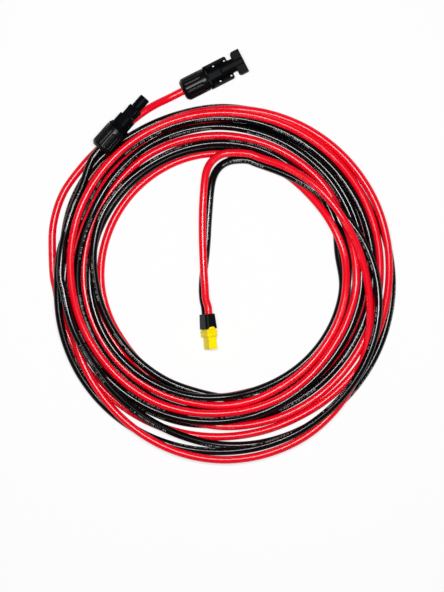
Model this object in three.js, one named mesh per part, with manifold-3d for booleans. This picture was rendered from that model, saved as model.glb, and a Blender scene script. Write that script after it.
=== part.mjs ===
// A solar adapter lead: two coiled single-core cables, a yellow two-pole plug and two locking couplers.
// Lengths are in millimetres, +Z is up and the floor is at zero.
import * as THREE from 'three';
import { mergeVertices } from 'three/addons/utils/BufferGeometryUtils.js';
import Module from 'manifold-3d';

const wasm = await Module();
wasm.setup();

// Cables
const CABLE_DIAMETER = 5.8;
const CONDUCTOR_DIAMETER = 2.9;
const LAY_GAP = 0.5;
const COIL_RADIUS = 115;
const COIL_CENTRE_X = 0.2;
const COIL_CENTRE_Y = -23.8;

// Fits
const SEAT_GAP = 0.3;
const RUNNING_GAP = 0.4;
const SPRING_GAP = 0.15;
const OVERRUN = 1;

// Couplers, shared
const NUT_DIAMETER = 18.6;
const NUT_SHELL = 1.3;
const NUT_REAR_WALL = 3;
const NUT_REAR_ROUND = 2.4;
const ROUND_MIDDLE_SHARE = 0.3;
const NUT_TRAVEL = 6;
const FLUTE_DEPTH = 0.7;
const FLUTE_RADIUS = 1.2;
const FLUTE_MARGIN = 3;
const COLLET_FLANGE_LENGTH = 2;
const COLLET_LENGTH = 9.7;
const COLLET_SLOT_WIDTH = 1.2;
const COLLET_SLOT_MARGIN = 0.9;
const SPIGOT_WALL = 1.5;
const SPIGOT_START = 7.8;
const SEAL_LENGTH = 6.7;
const BARREL_LENGTH = 8;
const BARREL_WALL = 0.6;
const BARREL_SETBACK = 0.7;
const CLIP_LENGTH = 2.5;
const CLIP_WALL = 0.6;
const COLLAR_LENGTH = 1.4;
const CONTACT_WEB = 2;
const PIN_DIAMETER = 4;
const PIN_TIP_SHARES = [[0.5, 1], [0.125, 0.7], [0, 0.25]];

// Mouth coupler
const MOUTH_NUT_LENGTH = 21.5;
const MOUTH_LENGTH = 54.4;
const MOUTH_PIN_RECESS = 10;
const MOUTH_BODY_WIDTH = 19.2;
const MOUTH_BODY_HEIGHT = 14.5;
const MOUTH_BODY_ROUND = 4;
const MOUTH_CORE_WIDTH = 11.8;
const MOUTH_RAIL_SHARE = 0.6;
const MOUTH_RAIL_ROUND_SHARE = 0.8;
const MOUTH_RAIL_HEIGHT = 9.6;
const MOUTH_BRIDGE_HEIGHT = 7;
const MOUTH_COLLAR_LENGTH = 2.2;
const MOUTH_HEAD_WIDTH = 19.8;
const MOUTH_HEAD_LENGTH = 7.8;
const MOUTH_HEAD_ROUND = 2.2;
const MOUTH_NOTCH_LENGTH = 4.2;
const MOUTH_NOTCH_UNDERCUT = 0.6;
const MOUTH_NOTCH_ROUND = 1.3;
const MOUTH_RECESS_DEPTH = 6;
const MOUTH_RECESS_HEIGHT = 10;
const MOUTH_SIDE_WALL = 1.2;
const MOUTH_BORE_DIAMETER = 9.2;
const MOUTH_REAR_GROOVE_SHARES = [0.04, 0.24];
const MOUTH_REAR_SLOT_SHARES = [0.31, 0.41];
const MOUTH_FRONT_GROOVE_SHARES = [0.47, 0.79];
const MOUTH_FRONT_SLOT_SHARES = [0.84, 0.94];
const MOUTH_GROOVE_DEPTH = 0.8;
const MOUTH_RIDGE_WIDTH = 4;
const MOUTH_RIDGE_LENGTH = 12;
const MOUTH_RIDGE_HEIGHT = 0.6;

// Nose coupler
const NOSE_NUT_LENGTH = 21;
const NOSE_LENGTH = 54.8;
const NOSE_CONE_LENGTH = 3.6;
const NOSE_CONE_RIM_SHARE = 0.1;
const NOSE_CONE_FRONT_SHARE = 0.84;
const NOSE_SHOULDER_LENGTH = 8.7;
const NOSE_SHOULDER_WIDTH = 12;
const NOSE_SHOULDER_HEIGHT = 18;
const NOSE_SHOULDER_ROUND = 3.6;
const NOSE_ROOT_DIAMETER = 8.2;
const NOSE_ROOT_LENGTH = 10.6;
const NOSE_DIAMETER = 8.8;
const NOSE_WALL = 1.2;
const NOSE_TIP_WALL = 0.8;
const NOSE_TIP_OPENING = 5;
const NOSE_TIP_CHAMFER = 0.5;
const O_RING_THICKNESS = 1.2;
const O_RING_GROOVE_DEPTH = 0.6;
const O_RING_PLACE = 1.5;
const ARM_WIDTH = 8;
const ARM_THICKNESS = 1.8;
const ARM_REACH = 10;
const ARM_ROOT = 2.6;
const ARM_INNER_FACE = 5.6;
const ARM_HOOK_HEIGHT = 1.2;
const ARM_HOOK_LENGTH = 3;
const ARM_RANGE = 6;
const SOCKET_WALL = 0.4;
const SOCKET_TIP_SETBACK = 0.6;
const SOCKET_DEPTH = 15;
const SOCKET_SLOT_WIDTH = 0.5;
const SOCKET_SLOT_LENGTH = 9;
const SPRING_LENGTH = 6;
const SPRING_THICKNESS = 0.3;

// Yellow plug
const PLUG_CAP_LENGTH = 12;
const PLUG_CAP_REAR_WIDTH = 16;
const PLUG_CAP_REAR_HEIGHT = 8.6;
const PLUG_CAP_WIDTH = 17.6;
const PLUG_CAP_HEIGHT = 9.8;
const PLUG_CAP_ROUND = 2.4;
const PLUG_CAP_WALL = 0.8;
const PLUG_CAP_REAR_WALL = 1.5;
const PLUG_CAP_ARCH_DEPTH = 3;
const PLUG_CAP_ARCH_SHARE = 0.8;
const PLUG_BLOCK_LENGTH = 6.2;
const PLUG_BLOCK_WIDTH = 16;
const PLUG_BLOCK_HEIGHT = 8.1;
const PLUG_BLOCK_ROUND = 1.2;
const PLUG_RIB_HEIGHT = 0.4;
const PLUG_RIB_LENGTH = 1.4;
const PLUG_RIB_SHARES = [0.3, 0.75];
const PLUG_NOSE_LENGTH = 9.8;
const PLUG_NOSE_WIDTH = 14.6;
const PLUG_NOSE_HEIGHT = 6.8;
const PLUG_NOSE_CHAMFER = 2.2;
const PLUG_STUB_LENGTH = 3.6;
const PLUG_POLE_SPACING = 7.2;
const PLUG_SOCKET_WALL = 0.5;
const PLUG_CUP_LENGTH = 5.5;
const PLUG_CUP_REACH = 6.9;
const PLUG_PIN_DEPTH = 13;
const PLUG_SOCKET_SETBACK = 0.5;
const PLUG_SLEEVE_WALL = 0.4;
const PLUG_CABLE_ENTRY = 4;

// Where the connectors lie: rear centres as shares of the coil's radius from its centre, turns in degrees
const MOUTH_PLACE_SHARE = [-0.273, 1.356];
const NOSE_PLACE_SHARE = [-0.848, 0.948];
const PLUG_PLACE_SHARE = [-0.104, -0.195];
const MOUTH_HEADING = 27;
const NOSE_HEADING = 48.6;
const NOSE_ROLL = -12;
const PLUG_HEADING = -84.6;
const PLUG_ROLL = 69;

// The coil: twelve radii and six laying orders to a turn, clockwise from the top of the plan
const STATIONS_PER_TURN = 24;
const RADII_PER_TURN = 12;
const ORDERS_PER_TURN = 6;
const SAMPLES_PER_STEP = 4;
const STATION_COUNT = 162;
const SKIPPED_STATION_COUNT = 1;
const TUBE_SIDE_COUNT = 6;
const STRETCH_SIDE_COUNT = 10;
const FLOOR_SHARE = 0.4;
const DROP_SHARE = 0.026;
const CLOSE_ENOUGH_SHARE = 0.0002;
const STACK_ROUNDS = 300;
const SETTLE_ROUNDS = 600;
const FALL_SHARE = 0.7;
const CLOSING_ROUNDS = 200;
const PULL_SHARE = 0.12;
const STIFFNESS_SHARE = 0.25;

const RED_RADIUS_SHARES = [
  [0.928, 0.941, 0.963, 1.016, 1.117, 1.194, 1.203, 1.165, 1.107, 1.064, 1.082, 1.127],
  [1.155, 1.141, 1.096, 1.023, 0.950, 0.890, 0.849, 0.838, 0.835, 0.908, 0.950, 0.981],
  [1.002, 0.974, 0.932, 0.883, 0.835, 0.800, 0.786, 0.786, 0.803, 0.845, 0.883, 0.918],
  [0.939, 0.929, 0.904, 0.870, 0.828, 0.816, 0.835, 0.870, 0.913, 0.960, 1.005, 1.047],
  [1.043, 1.009, 0.967, 0.925, 0.877, 0.875, 0.887, 0.929, 0.976, 1.047, 1.120, 1.176],
  [1.197, 1.186, 1.148, 1.094, 1.043, 1.002, 0.970, 0.967, 0.995, 1.057, 1.127, 1.183],
  [1.231, 1.245, 1.219, 1.162, 1.110, 1.057, 1.052, 1.078, 1.114, 1.163, 1.235, 1.294],
];
const BLACK_RADIUS_SHARES = [
  [0.894, 0.901, 0.974, 1.076, 1.122, 1.141, 1.145, 1.164, 1.160, 1.139, 1.113, 1.123],
  [1.137, 1.117, 1.054, 0.995, 0.939, 0.863, 0.776, 0.765, 0.801, 0.877, 0.966, 0.982],
  [0.994, 0.974, 0.932, 0.863, 0.803, 0.771, 0.774, 0.817, 0.873, 0.918, 0.946, 0.967],
  [0.974, 0.960, 0.929, 0.897, 0.859, 0.844, 0.861, 0.901, 0.950, 1.005, 1.047, 1.106],
  [1.111, 1.064, 1.002, 0.969, 0.920, 0.909, 0.941, 0.990, 1.046, 1.086, 1.112, 1.150],
  [1.176, 1.155, 1.113, 1.047, 0.981, 0.939, 0.960, 0.995, 1.030, 1.099, 1.162, 1.203],
  [1.242, 1.221, 1.193, 1.184, 1.170, 1.148, 1.119, 1.055, 1.043, 1.104, 1.150, 1.259],
];

// Which strand lies over which: the higher number is on top
const RED_LAYING_ORDER = [
  [14, 15, 14, 16, 9.5, 8],
  [11, 8.5, 2, 2, 3.5, 5],
  [6, 4, 6, 2.5, 4, 7],
  [7, 6, 8, 9, 11, 10],
  [9, 7, 9, 11, 14, 16],
  [16, 12, 12, 5, 3, 6],
  [6, 6, 4, 6, 4, 4],
];
const BLACK_LAYING_ORDER = [
  [13, 14, 15, 15, 9, 7],
  [10.5, 8, 1, 3, 8, 9.5],
  [7.5, 5.8, 7, 8, 10, 6],
  [6.5, 5, 7.5, 7, 6, 9],
  [12, 9, 10, 12, 13, 14],
  [11.5, 9, 11, 4, 2, 5],
  [5, 5, 5, 5, 14.5, 15],
];

// Free stretches, point by point: across and up the plan as shares of the coil's radius from its
// centre, then the centreline's height as a share of the cable's diameter
const RED_PIGTAIL_SHARES = [
  [-0.112, -0.097, 1.97],
  [-0.119, -0.007, 1.72],
  [-0.126, 0.097, 1.59],
  [-0.131, 0.209, 1.52],
  [-0.135, 0.320, 1.50],
  [-0.136, 0.431, 1.50],
  [-0.134, 0.543, 1.52],
  [-0.128, 0.647, 1.56],
  [-0.121, 0.730, 1.66],
  [-0.107, 0.803, 1.84],
  [-0.076, 0.861, 2.08],
  [-0.028, 0.901, 2.36],
  [0.031, 0.922, 2.50],
];
const BLACK_PIGTAIL_SHARES = [
  [-0.131, -0.097, 0.79],
  [-0.136, -0.010, 0.55],
  [-0.129, 0.090, 0.41],
  [-0.116, 0.195, 0.40],
  [-0.105, 0.320, 0.40],
  [-0.099, 0.431, 0.40],
  [-0.091, 0.543, 0.40],
  [-0.082, 0.647, 0.43],
  [-0.072, 0.717, 0.52],
  [-0.056, 0.772, 0.72],
  [-0.024, 0.822, 1.05],
  [0.022, 0.857, 1.38],
  [0.077, 0.874, 1.60],
];
const RED_TAIL_SHARES = [
  [-1.171, 0.207, 0.40],
  [-1.154, 0.420, 0.40],
  [-1.084, 0.626, 0.40],
  [-0.973, 0.816, 0.40],
  [-0.861, 0.955, 0.40],
  [-0.737, 1.061, 0.40],
  [-0.612, 1.165, 0.40],
  [-0.557, 1.207, 0.50],
  [-0.501, 1.243, 0.76],
  [-0.445, 1.273, 1.14],
];
const BLACK_TAIL_SHARES = [
  [-1.109, 0.237, 3.50],
  [-1.081, 0.390, 3.15],
  [-1.035, 0.543, 3.05],
  [-0.972, 0.689, 2.80],
];

// How far each tail's last bend lies beside its coupler's axis
const RED_TAIL_BEND = 0;
const BLACK_TAIL_BEND = -1;

// Materials
const matte = (color, roughness, metalness = 0) => () => (
  new THREE.MeshStandardMaterial({ color, roughness, metalness }));
const redJacket = matte(0xd8121f, 0.35);
const blackJacket = matte(0x141414, 0.35);
const blackNylon = matte(0x1a1d1e, 0.55);
const yellowNylon = matte(0xf5b80c, 0.4);
const blackRubber = matte(0x202020, 0.8);
const goldPlate = matte(0xd9a93a, 0.25, 1);
const tinPlate = matte(0xc4c6c8, 0.3, 1);
const springSteel = matte(0x9fa2a5, 0.3, 1);
const tinnedCopper = matte(0xc98a5a, 0.4, 1);

// Turns a three.js geometry into a solid that can be joined and cut
function solidOf(geometry) {
  geometry.deleteAttribute('normal');
  geometry.deleteAttribute('uv');
  const joined = mergeVertices(geometry);
  const corners = joined.index.array;
  const kept = [];
  for (let i = 0; i < corners.length; i += 3) {
    const [a, b, c] = [corners[i], corners[i + 1], corners[i + 2]];
    if (a !== b && b !== c && c !== a) kept.push(a, b, c);
  }
  const mesh = new wasm.Mesh({
    numProp: 3,
    vertProperties: new Float32Array(joined.attributes.position.array),
    triVerts: Uint32Array.from(kept),
  });
  return new wasm.Manifold(mesh);
}

function geometryOf(solid) {
  const mesh = solid.getMesh();
  const geometry = new THREE.BufferGeometry();
  geometry.setAttribute('position', new THREE.BufferAttribute(mesh.vertProperties, 3));
  geometry.setIndex(new THREE.BufferAttribute(mesh.triVerts, 1));
  geometry.computeVertexNormals();
  return geometry;
}

function addPiece(group, name, geometry, material) {
  const mesh = new THREE.Mesh(geometry, material());
  mesh.name = name;
  group.add(mesh);
}

// A solid of revolution about X: the outline holds [along, radius] and runs forward on its outer side
function turned(outline, sides) {
  const onAxis = outline[0][1] === 0;
  const loop = onAxis ? outline : [...outline, outline[0]];
  const points = loop.map(([along, radius]) => new THREE.Vector2(radius, along));
  return solidOf(new THREE.LatheGeometry(points, sides).rotateZ(-Math.PI / 2));
}

const rod = (from, to, radius, sides) => turned([[from, 0], [from, radius], [to, radius], [to, 0]], sides);
const ring = (from, to, inner, outer, sides) => (
  turned([[from, inner], [from, outer], [to, outer], [to, inner]], sides));

function block(from, to, width, height, y = 0, z = 0) {
  return solidOf(new THREE.BoxGeometry(to - from, width, height).translate((from + to) / 2, y, z));
}

function roundedOutline(width, height, round) {
  const [w, h] = [width / 2 - round, height / 2 - round];
  const shape = new THREE.Shape();
  shape.absarc(w, h, round, 0, Math.PI / 2);
  shape.absarc(-w, h, round, Math.PI / 2, Math.PI);
  shape.absarc(-w, -h, round, Math.PI, Math.PI * 1.5);
  shape.absarc(w, -h, round, Math.PI * 1.5, Math.PI * 2);
  return shape;
}

// Extrudes an outline of Y and Z along X
const ALONG_X = new THREE.Matrix4().makeBasis(
  new THREE.Vector3(0, 1, 0), new THREE.Vector3(0, 0, 1), new THREE.Vector3(1, 0, 0));
function prism(shape, from, to, curveSegments = 3) {
  const geometry = new THREE.ExtrudeGeometry(shape, { depth: to - from, bevelEnabled: false, curveSegments });
  return solidOf(geometry.applyMatrix4(ALONG_X).translate(from, 0, 0));
}

const roundedBlock = (from, to, width, height, round) => (
  prism(roundedOutline(width, height, round), from, to));

// The outline is in X and Y, and the plate is centred on Z
function plate(shape, thickness, curveSegments = 3) {
  const geometry = new THREE.ExtrudeGeometry(shape, { depth: thickness, bevelEnabled: false, curveSegments });
  return solidOf(geometry.translate(0, 0, -thickness / 2));
}

const roundAboutAxis = (solid, step, count) => (
  Array.from({ length: count }, (_, k) => solid.rotate([k * step, 0, 0])));

// Where a connector lies: a turn about the vertical, then a roll about its own axis
function placed([across, up], height, heading, roll) {
  const group = new THREE.Group();
  group.rotation.order = 'ZYX';
  group.rotation.set(THREE.MathUtils.degToRad(roll), 0, THREE.MathUtils.degToRad(heading));
  group.position.set(COIL_CENTRE_X + across * COIL_RADIUS, COIL_CENTRE_Y + up * COIL_RADIUS, height);
  group.updateMatrix();
  return group;
}

const pointOn = (group, x, y = 0, z = 0) => new THREE.Vector3(x, y, z).applyMatrix4(group.matrix);

// Rear half of a coupler, the same on both: the sizes follow from the cable outwards
const CABLE_PASSAGE = CABLE_DIAMETER / 2 + RUNNING_GAP;
const NUT_CAVITY = NUT_DIAMETER / 2 - NUT_SHELL;
const SPIGOT_RADIUS = NUT_CAVITY - RUNNING_GAP;
const SPIGOT_BORE = SPIGOT_RADIUS - SPIGOT_WALL;
const FINGER_RADIUS = SPIGOT_BORE - SEAT_GAP;
const COLLET_START = NUT_REAR_WALL + SEAT_GAP;
const COLLET_END = COLLET_START + COLLET_LENGTH;
const SEAL_START = COLLET_END + SEAT_GAP;
const SEAL_END = SEAL_START + SEAL_LENGTH;
const SEAL_FLOOR = SEAL_END + SEAT_GAP;
const BARREL_START = SEAL_END + BARREL_SETBACK + SEAT_GAP;
const BARREL_BORE = CONDUCTOR_DIAMETER / 2 + SEAT_GAP;
const BARREL_RADIUS = BARREL_BORE + BARREL_WALL;
const BARREL_END = BARREL_START + BARREL_LENGTH;
const CLIP_START = BARREL_END + SEAT_GAP * 2;
const CLIP_INNER = BARREL_RADIUS + SEAT_GAP;
const CLIP_OUTER = CLIP_INNER + CLIP_WALL;
const COLLAR_START = CLIP_START + CLIP_LENGTH + SEAT_GAP;
const COLLAR_END = COLLAR_START + COLLAR_LENGTH;
const POCKET_START = CLIP_START - SEAT_GAP;
const POCKET_END = COLLAR_END + SEAT_GAP;
const POCKET_RADIUS = CLIP_OUTER + SEAT_GAP;
const WEB_END = POCKET_END + CONTACT_WEB;

function nut(length, grooves) {
  const radius = NUT_DIAMETER / 2;
  const shell = turned([
    [0, CABLE_PASSAGE],
    [0, radius - NUT_REAR_ROUND],
    [NUT_REAR_ROUND * ROUND_MIDDLE_SHARE, radius - NUT_REAR_ROUND * ROUND_MIDDLE_SHARE],
    [NUT_REAR_ROUND, radius],
    [length, radius],
    [length, NUT_CAVITY],
    [NUT_REAR_WALL, NUT_CAVITY],
    [NUT_REAR_WALL, CABLE_PASSAGE],
  ], 24);
  return grooves.reduce((left, groove) => left.subtract(groove), shell);
}

function flutes(length, count) {
  const reach = NUT_DIAMETER / 2 + FLUTE_RADIUS - FLUTE_DEPTH;
  const flute = rod(FLUTE_MARGIN, length - FLUTE_MARGIN, FLUTE_RADIUS, 6).translate([0, 0, reach]);
  return roundAboutAxis(flute.rotate([180 / count, 0, 0]), 360 / count, count);
}

function collet() {
  const body = turned([
    [COLLET_START, CABLE_PASSAGE],
    [COLLET_START, SPIGOT_RADIUS],
    [COLLET_START + COLLET_FLANGE_LENGTH, SPIGOT_RADIUS],
    [COLLET_START + COLLET_FLANGE_LENGTH, FINGER_RADIUS],
    [COLLET_END, FINGER_RADIUS],
    [COLLET_END, CABLE_PASSAGE],
  ], 18);
  const slotFrom = COLLET_START + COLLET_FLANGE_LENGTH + COLLET_SLOT_MARGIN;
  const slot = block(slotFrom, COLLET_END + OVERRUN, SPIGOT_RADIUS * 2, COLLET_SLOT_WIDTH);
  return roundAboutAxis(slot, 60, 3).reduce((left, cut) => left.subtract(cut), body);
}

const seal = () => ring(SEAL_START, SEAL_END, CABLE_DIAMETER / 2 + SEAT_GAP, FINGER_RADIUS, 16);
const clip = () => ring(CLIP_START, CLIP_START + CLIP_LENGTH, CLIP_INNER, CLIP_OUTER, 12);
const conductorEnd = () => rod(SEAL_END + SEAT_GAP, BARREL_END - SEAT_GAP, CONDUCTOR_DIAMETER / 2, 10);

// Barrel and collar of a crimped contact, up to the end of its collar
const CRIMP_OUTLINE = [
  [BARREL_END, 0],
  [BARREL_END, BARREL_BORE],
  [BARREL_START, BARREL_BORE],
  [BARREL_START, BARREL_RADIUS],
  [COLLAR_START, BARREL_RADIUS],
  [COLLAR_START, CLIP_OUTER],
  [COLLAR_END, CLIP_OUTER],
];

// The spaces that both housings have behind their web
function rearSpaces(webBore) {
  return [
    rod(SPIGOT_START - OVERRUN, SEAL_FLOOR, SPIGOT_BORE, 18),
    rod(SEAL_FLOOR - OVERRUN, POCKET_START + OVERRUN, BARREL_RADIUS + SEAT_GAP, 12),
    rod(POCKET_START, POCKET_END, POCKET_RADIUS, 12),
    rod(POCKET_END - OVERRUN, WEB_END + OVERRUN, webBore, 12),
  ];
}

function addCouplerRear(group, side, nutSolid) {
  addPiece(group, `${side}_nut`, geometryOf(nutSolid), blackNylon);
  addPiece(group, `${side}_collet`, geometryOf(collet()), blackNylon);
  addPiece(group, `${side}_seal`, geometryOf(seal()), blackRubber);
  addPiece(group, `${side}_clip`, geometryOf(clip()), springSteel);
  addPiece(group, `${side}_conductor`, geometryOf(conductorEnd()), tinnedCopper);
}

// Mouth coupler
function mouthHousing() {
  const start = MOUTH_NUT_LENGTH + SEAT_GAP;
  const head = MOUTH_LENGTH - MOUTH_HEAD_LENGTH;
  const notch = head - MOUTH_NOTCH_LENGTH;
  const side = (MOUTH_BODY_WIDTH - MOUTH_CORE_WIDTH) / 2;
  const railWidth = side * MOUTH_RAIL_SHARE;
  const slotWidth = side - railWidth;
  const railY = (MOUTH_BODY_WIDTH - railWidth) / 2;
  const slotY = (MOUTH_CORE_WIDTH + slotWidth) / 2;
  const added = [
    roundedBlock(start, start + MOUTH_COLLAR_LENGTH, MOUTH_BODY_WIDTH, MOUTH_BODY_HEIGHT, MOUTH_BODY_ROUND),
    roundedBlock(start, MOUTH_LENGTH, MOUTH_CORE_WIDTH, MOUTH_BODY_HEIGHT, MOUTH_BODY_ROUND),
    block(start, head, MOUTH_BODY_WIDTH - railWidth, MOUTH_BRIDGE_HEIGHT),
    block(head - MOUTH_RIDGE_LENGTH, MOUTH_LENGTH, MOUTH_RIDGE_WIDTH,
      MOUTH_BODY_HEIGHT + MOUTH_RIDGE_HEIGHT * 2),
    ...[railY, -railY].map((y) => block(start, notch, railWidth, MOUTH_RAIL_HEIGHT, y)),
    mouthHead(head),
  ];
  const firstSlot = start + MOUTH_COLLAR_LENGTH;
  const along = (shares) => shares.map((share) => firstSlot + (notch - firstSlot) * share);
  const tall = MOUTH_BODY_HEIGHT + OVERRUN * 2;
  const sideCuts = [slotY, -slotY].flatMap((y) => [
    block(...along(MOUTH_REAR_SLOT_SHARES), slotWidth, tall, y),
    block(...along(MOUTH_FRONT_SLOT_SHARES), slotWidth, tall, y),
    ...[MOUTH_BRIDGE_HEIGHT / 2, -MOUTH_BRIDGE_HEIGHT / 2].flatMap((z) => [
      block(...along(MOUTH_REAR_GROOVE_SHARES), slotWidth, MOUTH_GROOVE_DEPTH * 2, y, z),
      block(...along(MOUTH_FRONT_GROOVE_SHARES), slotWidth, MOUTH_GROOVE_DEPTH * 2, y, z),
    ]),
  ]);
  const slotReach = MOUTH_HEAD_WIDTH / 2 - MOUTH_SIDE_WALL;
  const slotInner = ARM_INNER_FACE - SEAT_GAP;
  const armSlots = [1, -1].map((sign) =>
    block(notch, MOUTH_LENGTH, slotReach - slotInner, ARM_WIDTH + SEAT_GAP * 2,
      sign * (slotReach + slotInner) / 2));
  const removed = [
    ...rearSpaces(PIN_DIAMETER / 2 + SEAT_GAP),
    rod(WEB_END, MOUTH_LENGTH + OVERRUN, MOUTH_BORE_DIAMETER / 2, 20),
    block(MOUTH_LENGTH - MOUTH_RECESS_DEPTH, MOUTH_LENGTH + OVERRUN, slotReach * 2, MOUTH_RECESS_HEIGHT),
    ...armSlots,
    ...mouthNotches(notch, head, railWidth * MOUTH_RAIL_ROUND_SHARE),
    ...sideCuts,
  ];
  const spigot = rod(SPIGOT_START, start + OVERRUN, SPIGOT_RADIUS, 18);
  const whole = added.reduce((sum, piece) => sum.add(piece), spigot);
  return removed.reduce((left, piece) => left.subtract(piece), whole);
}

function mouthHead(from) {
  const half = MOUTH_HEAD_WIDTH / 2;
  const round = MOUTH_HEAD_ROUND;
  const shape = new THREE.Shape();
  shape.moveTo(MOUTH_LENGTH, -half);
  shape.lineTo(MOUTH_LENGTH, half);
  shape.absarc(from + round, half - round, round, Math.PI / 2, Math.PI);
  shape.absarc(from + round, round - half, round, Math.PI, Math.PI * 1.5);
  return plate(shape, MOUTH_BODY_HEIGHT, 4);
}

// Each notch also rounds the front corner of its rail
function mouthNotches(from, to, railRound) {
  const round = MOUTH_NOTCH_ROUND;
  const edge = MOUTH_BODY_WIDTH / 2;
  const outer = edge + OVERRUN;
  const inner = MOUTH_CORE_WIDTH / 2 - MOUTH_NOTCH_UNDERCUT;
  return [1, -1].map((side) => {
    const shape = new THREE.Shape();
    shape.moveTo(from - railRound, side * outer);
    shape.lineTo(from - railRound, side * edge);
    shape.quadraticCurveTo(from, side * edge, from, side * (edge - railRound));
    shape.lineTo(from, side * (inner + round));
    shape.quadraticCurveTo(from, side * inner, from + round, side * inner);
    shape.lineTo(to, side * inner);
    shape.lineTo(to, side * outer);
    return plate(shape, MOUTH_BODY_HEIGHT + OVERRUN, 4);
  });
}

function mouthPin() {
  const tip = MOUTH_LENGTH - MOUTH_PIN_RECESS;
  const radius = PIN_DIAMETER / 2;
  return turned([
    ...CRIMP_OUTLINE,
    [COLLAR_END, radius],
    ...PIN_TIP_SHARES.map(([back, out]) => [tip - radius * back, radius * out]),
    [tip, 0],
  ], 14);
}

function addMouthCoupler(group) {
  addCouplerRear(group, 'mouth', nut(MOUTH_NUT_LENGTH, flutes(MOUTH_NUT_LENGTH, 12)));
  addPiece(group, 'mouth_housing', geometryOf(mouthHousing()), blackNylon);
  addPiece(group, 'mouth_pin', geometryOf(mouthPin()), tinPlate);
}

// Nose coupler
const NOSE_SHOULDER_START = NOSE_NUT_LENGTH + SEAT_GAP + NOSE_CONE_LENGTH;
const NOSE_START = NOSE_SHOULDER_START + NOSE_SHOULDER_LENGTH;
const NOSE_BORE = NOSE_DIAMETER / 2 - NOSE_WALL;
const HINGE_X = NOSE_START - ARM_ROOT;
const HINGE_Z = ARM_INNER_FACE + ARM_THICKNESS / 2;
const ARM_TIP = NOSE_START + ARM_REACH;
const ARM_SWING = Math.tan(THREE.MathUtils.degToRad(ARM_RANGE));

function noseHousing() {
  const coneStart = NOSE_NUT_LENGTH + SEAT_GAP;
  const grooveX = NOSE_START + O_RING_PLACE;
  const outside = turned([
    [SPIGOT_START, 0],
    [SPIGOT_START, SPIGOT_RADIUS],
    [coneStart, SPIGOT_RADIUS],
    [coneStart, NUT_DIAMETER / 2],
    [coneStart + NOSE_CONE_LENGTH * NOSE_CONE_RIM_SHARE, NUT_DIAMETER / 2],
    [NOSE_SHOULDER_START, NUT_DIAMETER / 2 * NOSE_CONE_FRONT_SHARE],
    [NOSE_SHOULDER_START, NOSE_SHOULDER_WIDTH / 2],
    [NOSE_START, NOSE_SHOULDER_WIDTH / 2],
    [NOSE_START, NOSE_ROOT_DIAMETER / 2],
    [grooveX - O_RING_THICKNESS / 2 - SEAT_GAP, NOSE_ROOT_DIAMETER / 2],
    [grooveX - O_RING_THICKNESS / 2 - SEAT_GAP, NOSE_ROOT_DIAMETER / 2 - O_RING_GROOVE_DEPTH],
    [grooveX + O_RING_THICKNESS / 2 + SEAT_GAP, NOSE_ROOT_DIAMETER / 2 - O_RING_GROOVE_DEPTH],
    [grooveX + O_RING_THICKNESS / 2 + SEAT_GAP, NOSE_ROOT_DIAMETER / 2],
    [NOSE_START + NOSE_ROOT_LENGTH, NOSE_ROOT_DIAMETER / 2],
    [NOSE_START + NOSE_ROOT_LENGTH, NOSE_DIAMETER / 2],
    [NOSE_LENGTH - NOSE_TIP_CHAMFER, NOSE_DIAMETER / 2],
    [NOSE_LENGTH, NOSE_DIAMETER / 2 - NOSE_TIP_CHAMFER],
    [NOSE_LENGTH, 0],
  ], 24);
  const shoulder = roundedBlock(
    NOSE_SHOULDER_START, NOSE_START, NOSE_SHOULDER_WIDTH, NOSE_SHOULDER_HEIGHT, NOSE_SHOULDER_ROUND);
  const removed = [
    ...rearSpaces(NOSE_BORE),
    rod(WEB_END, NOSE_LENGTH - NOSE_TIP_WALL, NOSE_BORE, 16),
    rod(NOSE_LENGTH - NOSE_TIP_WALL - OVERRUN, NOSE_LENGTH + OVERRUN, NOSE_TIP_OPENING / 2, 16),
    armPocket(),
    armPocket().rotate([180, 0, 0]),
  ];
  return removed.reduce((left, piece) => left.subtract(piece), outside.add(shoulder));
}

function armPocket() {
  const half = ARM_THICKNESS / 2 + SEAT_GAP;
  const inner = half + ARM_ROOT * ARM_SWING;
  const shape = new THREE.Shape();
  shape.absarc(0, 0, half, Math.PI / 2, Math.PI * 1.5);
  shape.lineTo(ARM_ROOT + OVERRUN, -inner);
  shape.lineTo(ARM_ROOT + OVERRUN, half);
  return standing(shape, ARM_WIDTH + SEAT_GAP * 2).translate([HINGE_X, 0, HINGE_Z]);
}

// The outline is in X and Z, and the solid is centred on Y
function standing(shape, width) {
  return plate(shape, width).rotate([90, 0, 0]);
}

function latchArm() {
  const half = ARM_THICKNESS / 2;
  const tip = ARM_TIP - HINGE_X;
  const hook = tip - ARM_HOOK_LENGTH;
  const shape = new THREE.Shape();
  shape.absarc(0, 0, half, Math.PI / 2, Math.PI * 1.5);
  shape.lineTo(tip, -half);
  shape.lineTo(tip, half / 2);
  shape.lineTo(hook + ARM_HOOK_LENGTH / 4, half + ARM_HOOK_HEIGHT);
  shape.lineTo(hook, half + ARM_HOOK_HEIGHT);
  shape.lineTo(hook, half);
  return standing(shape, ARM_WIDTH).translate([HINGE_X, 0, HINGE_Z]);
}

const SOCKET_BORE = PIN_DIAMETER / 2;
const SOCKET_RADIUS = SOCKET_BORE + SOCKET_WALL;
const SOCKET_TIP = NOSE_LENGTH - NOSE_TIP_WALL - SOCKET_TIP_SETBACK;

function noseSocket() {
  const socket = turned([
    ...CRIMP_OUTLINE,
    [COLLAR_END, SOCKET_RADIUS],
    [SOCKET_TIP, SOCKET_RADIUS],
    [SOCKET_TIP, SOCKET_BORE],
    [SOCKET_TIP - SOCKET_DEPTH, SOCKET_BORE],
    [SOCKET_TIP - SOCKET_DEPTH, 0],
  ], 14);
  const slot = block(SOCKET_TIP - SOCKET_SLOT_LENGTH, SOCKET_TIP + OVERRUN, NOSE_DIAMETER, SOCKET_SLOT_WIDTH);
  return socket.subtract(slot).subtract(slot.rotate([90, 0, 0]));
}

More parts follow.
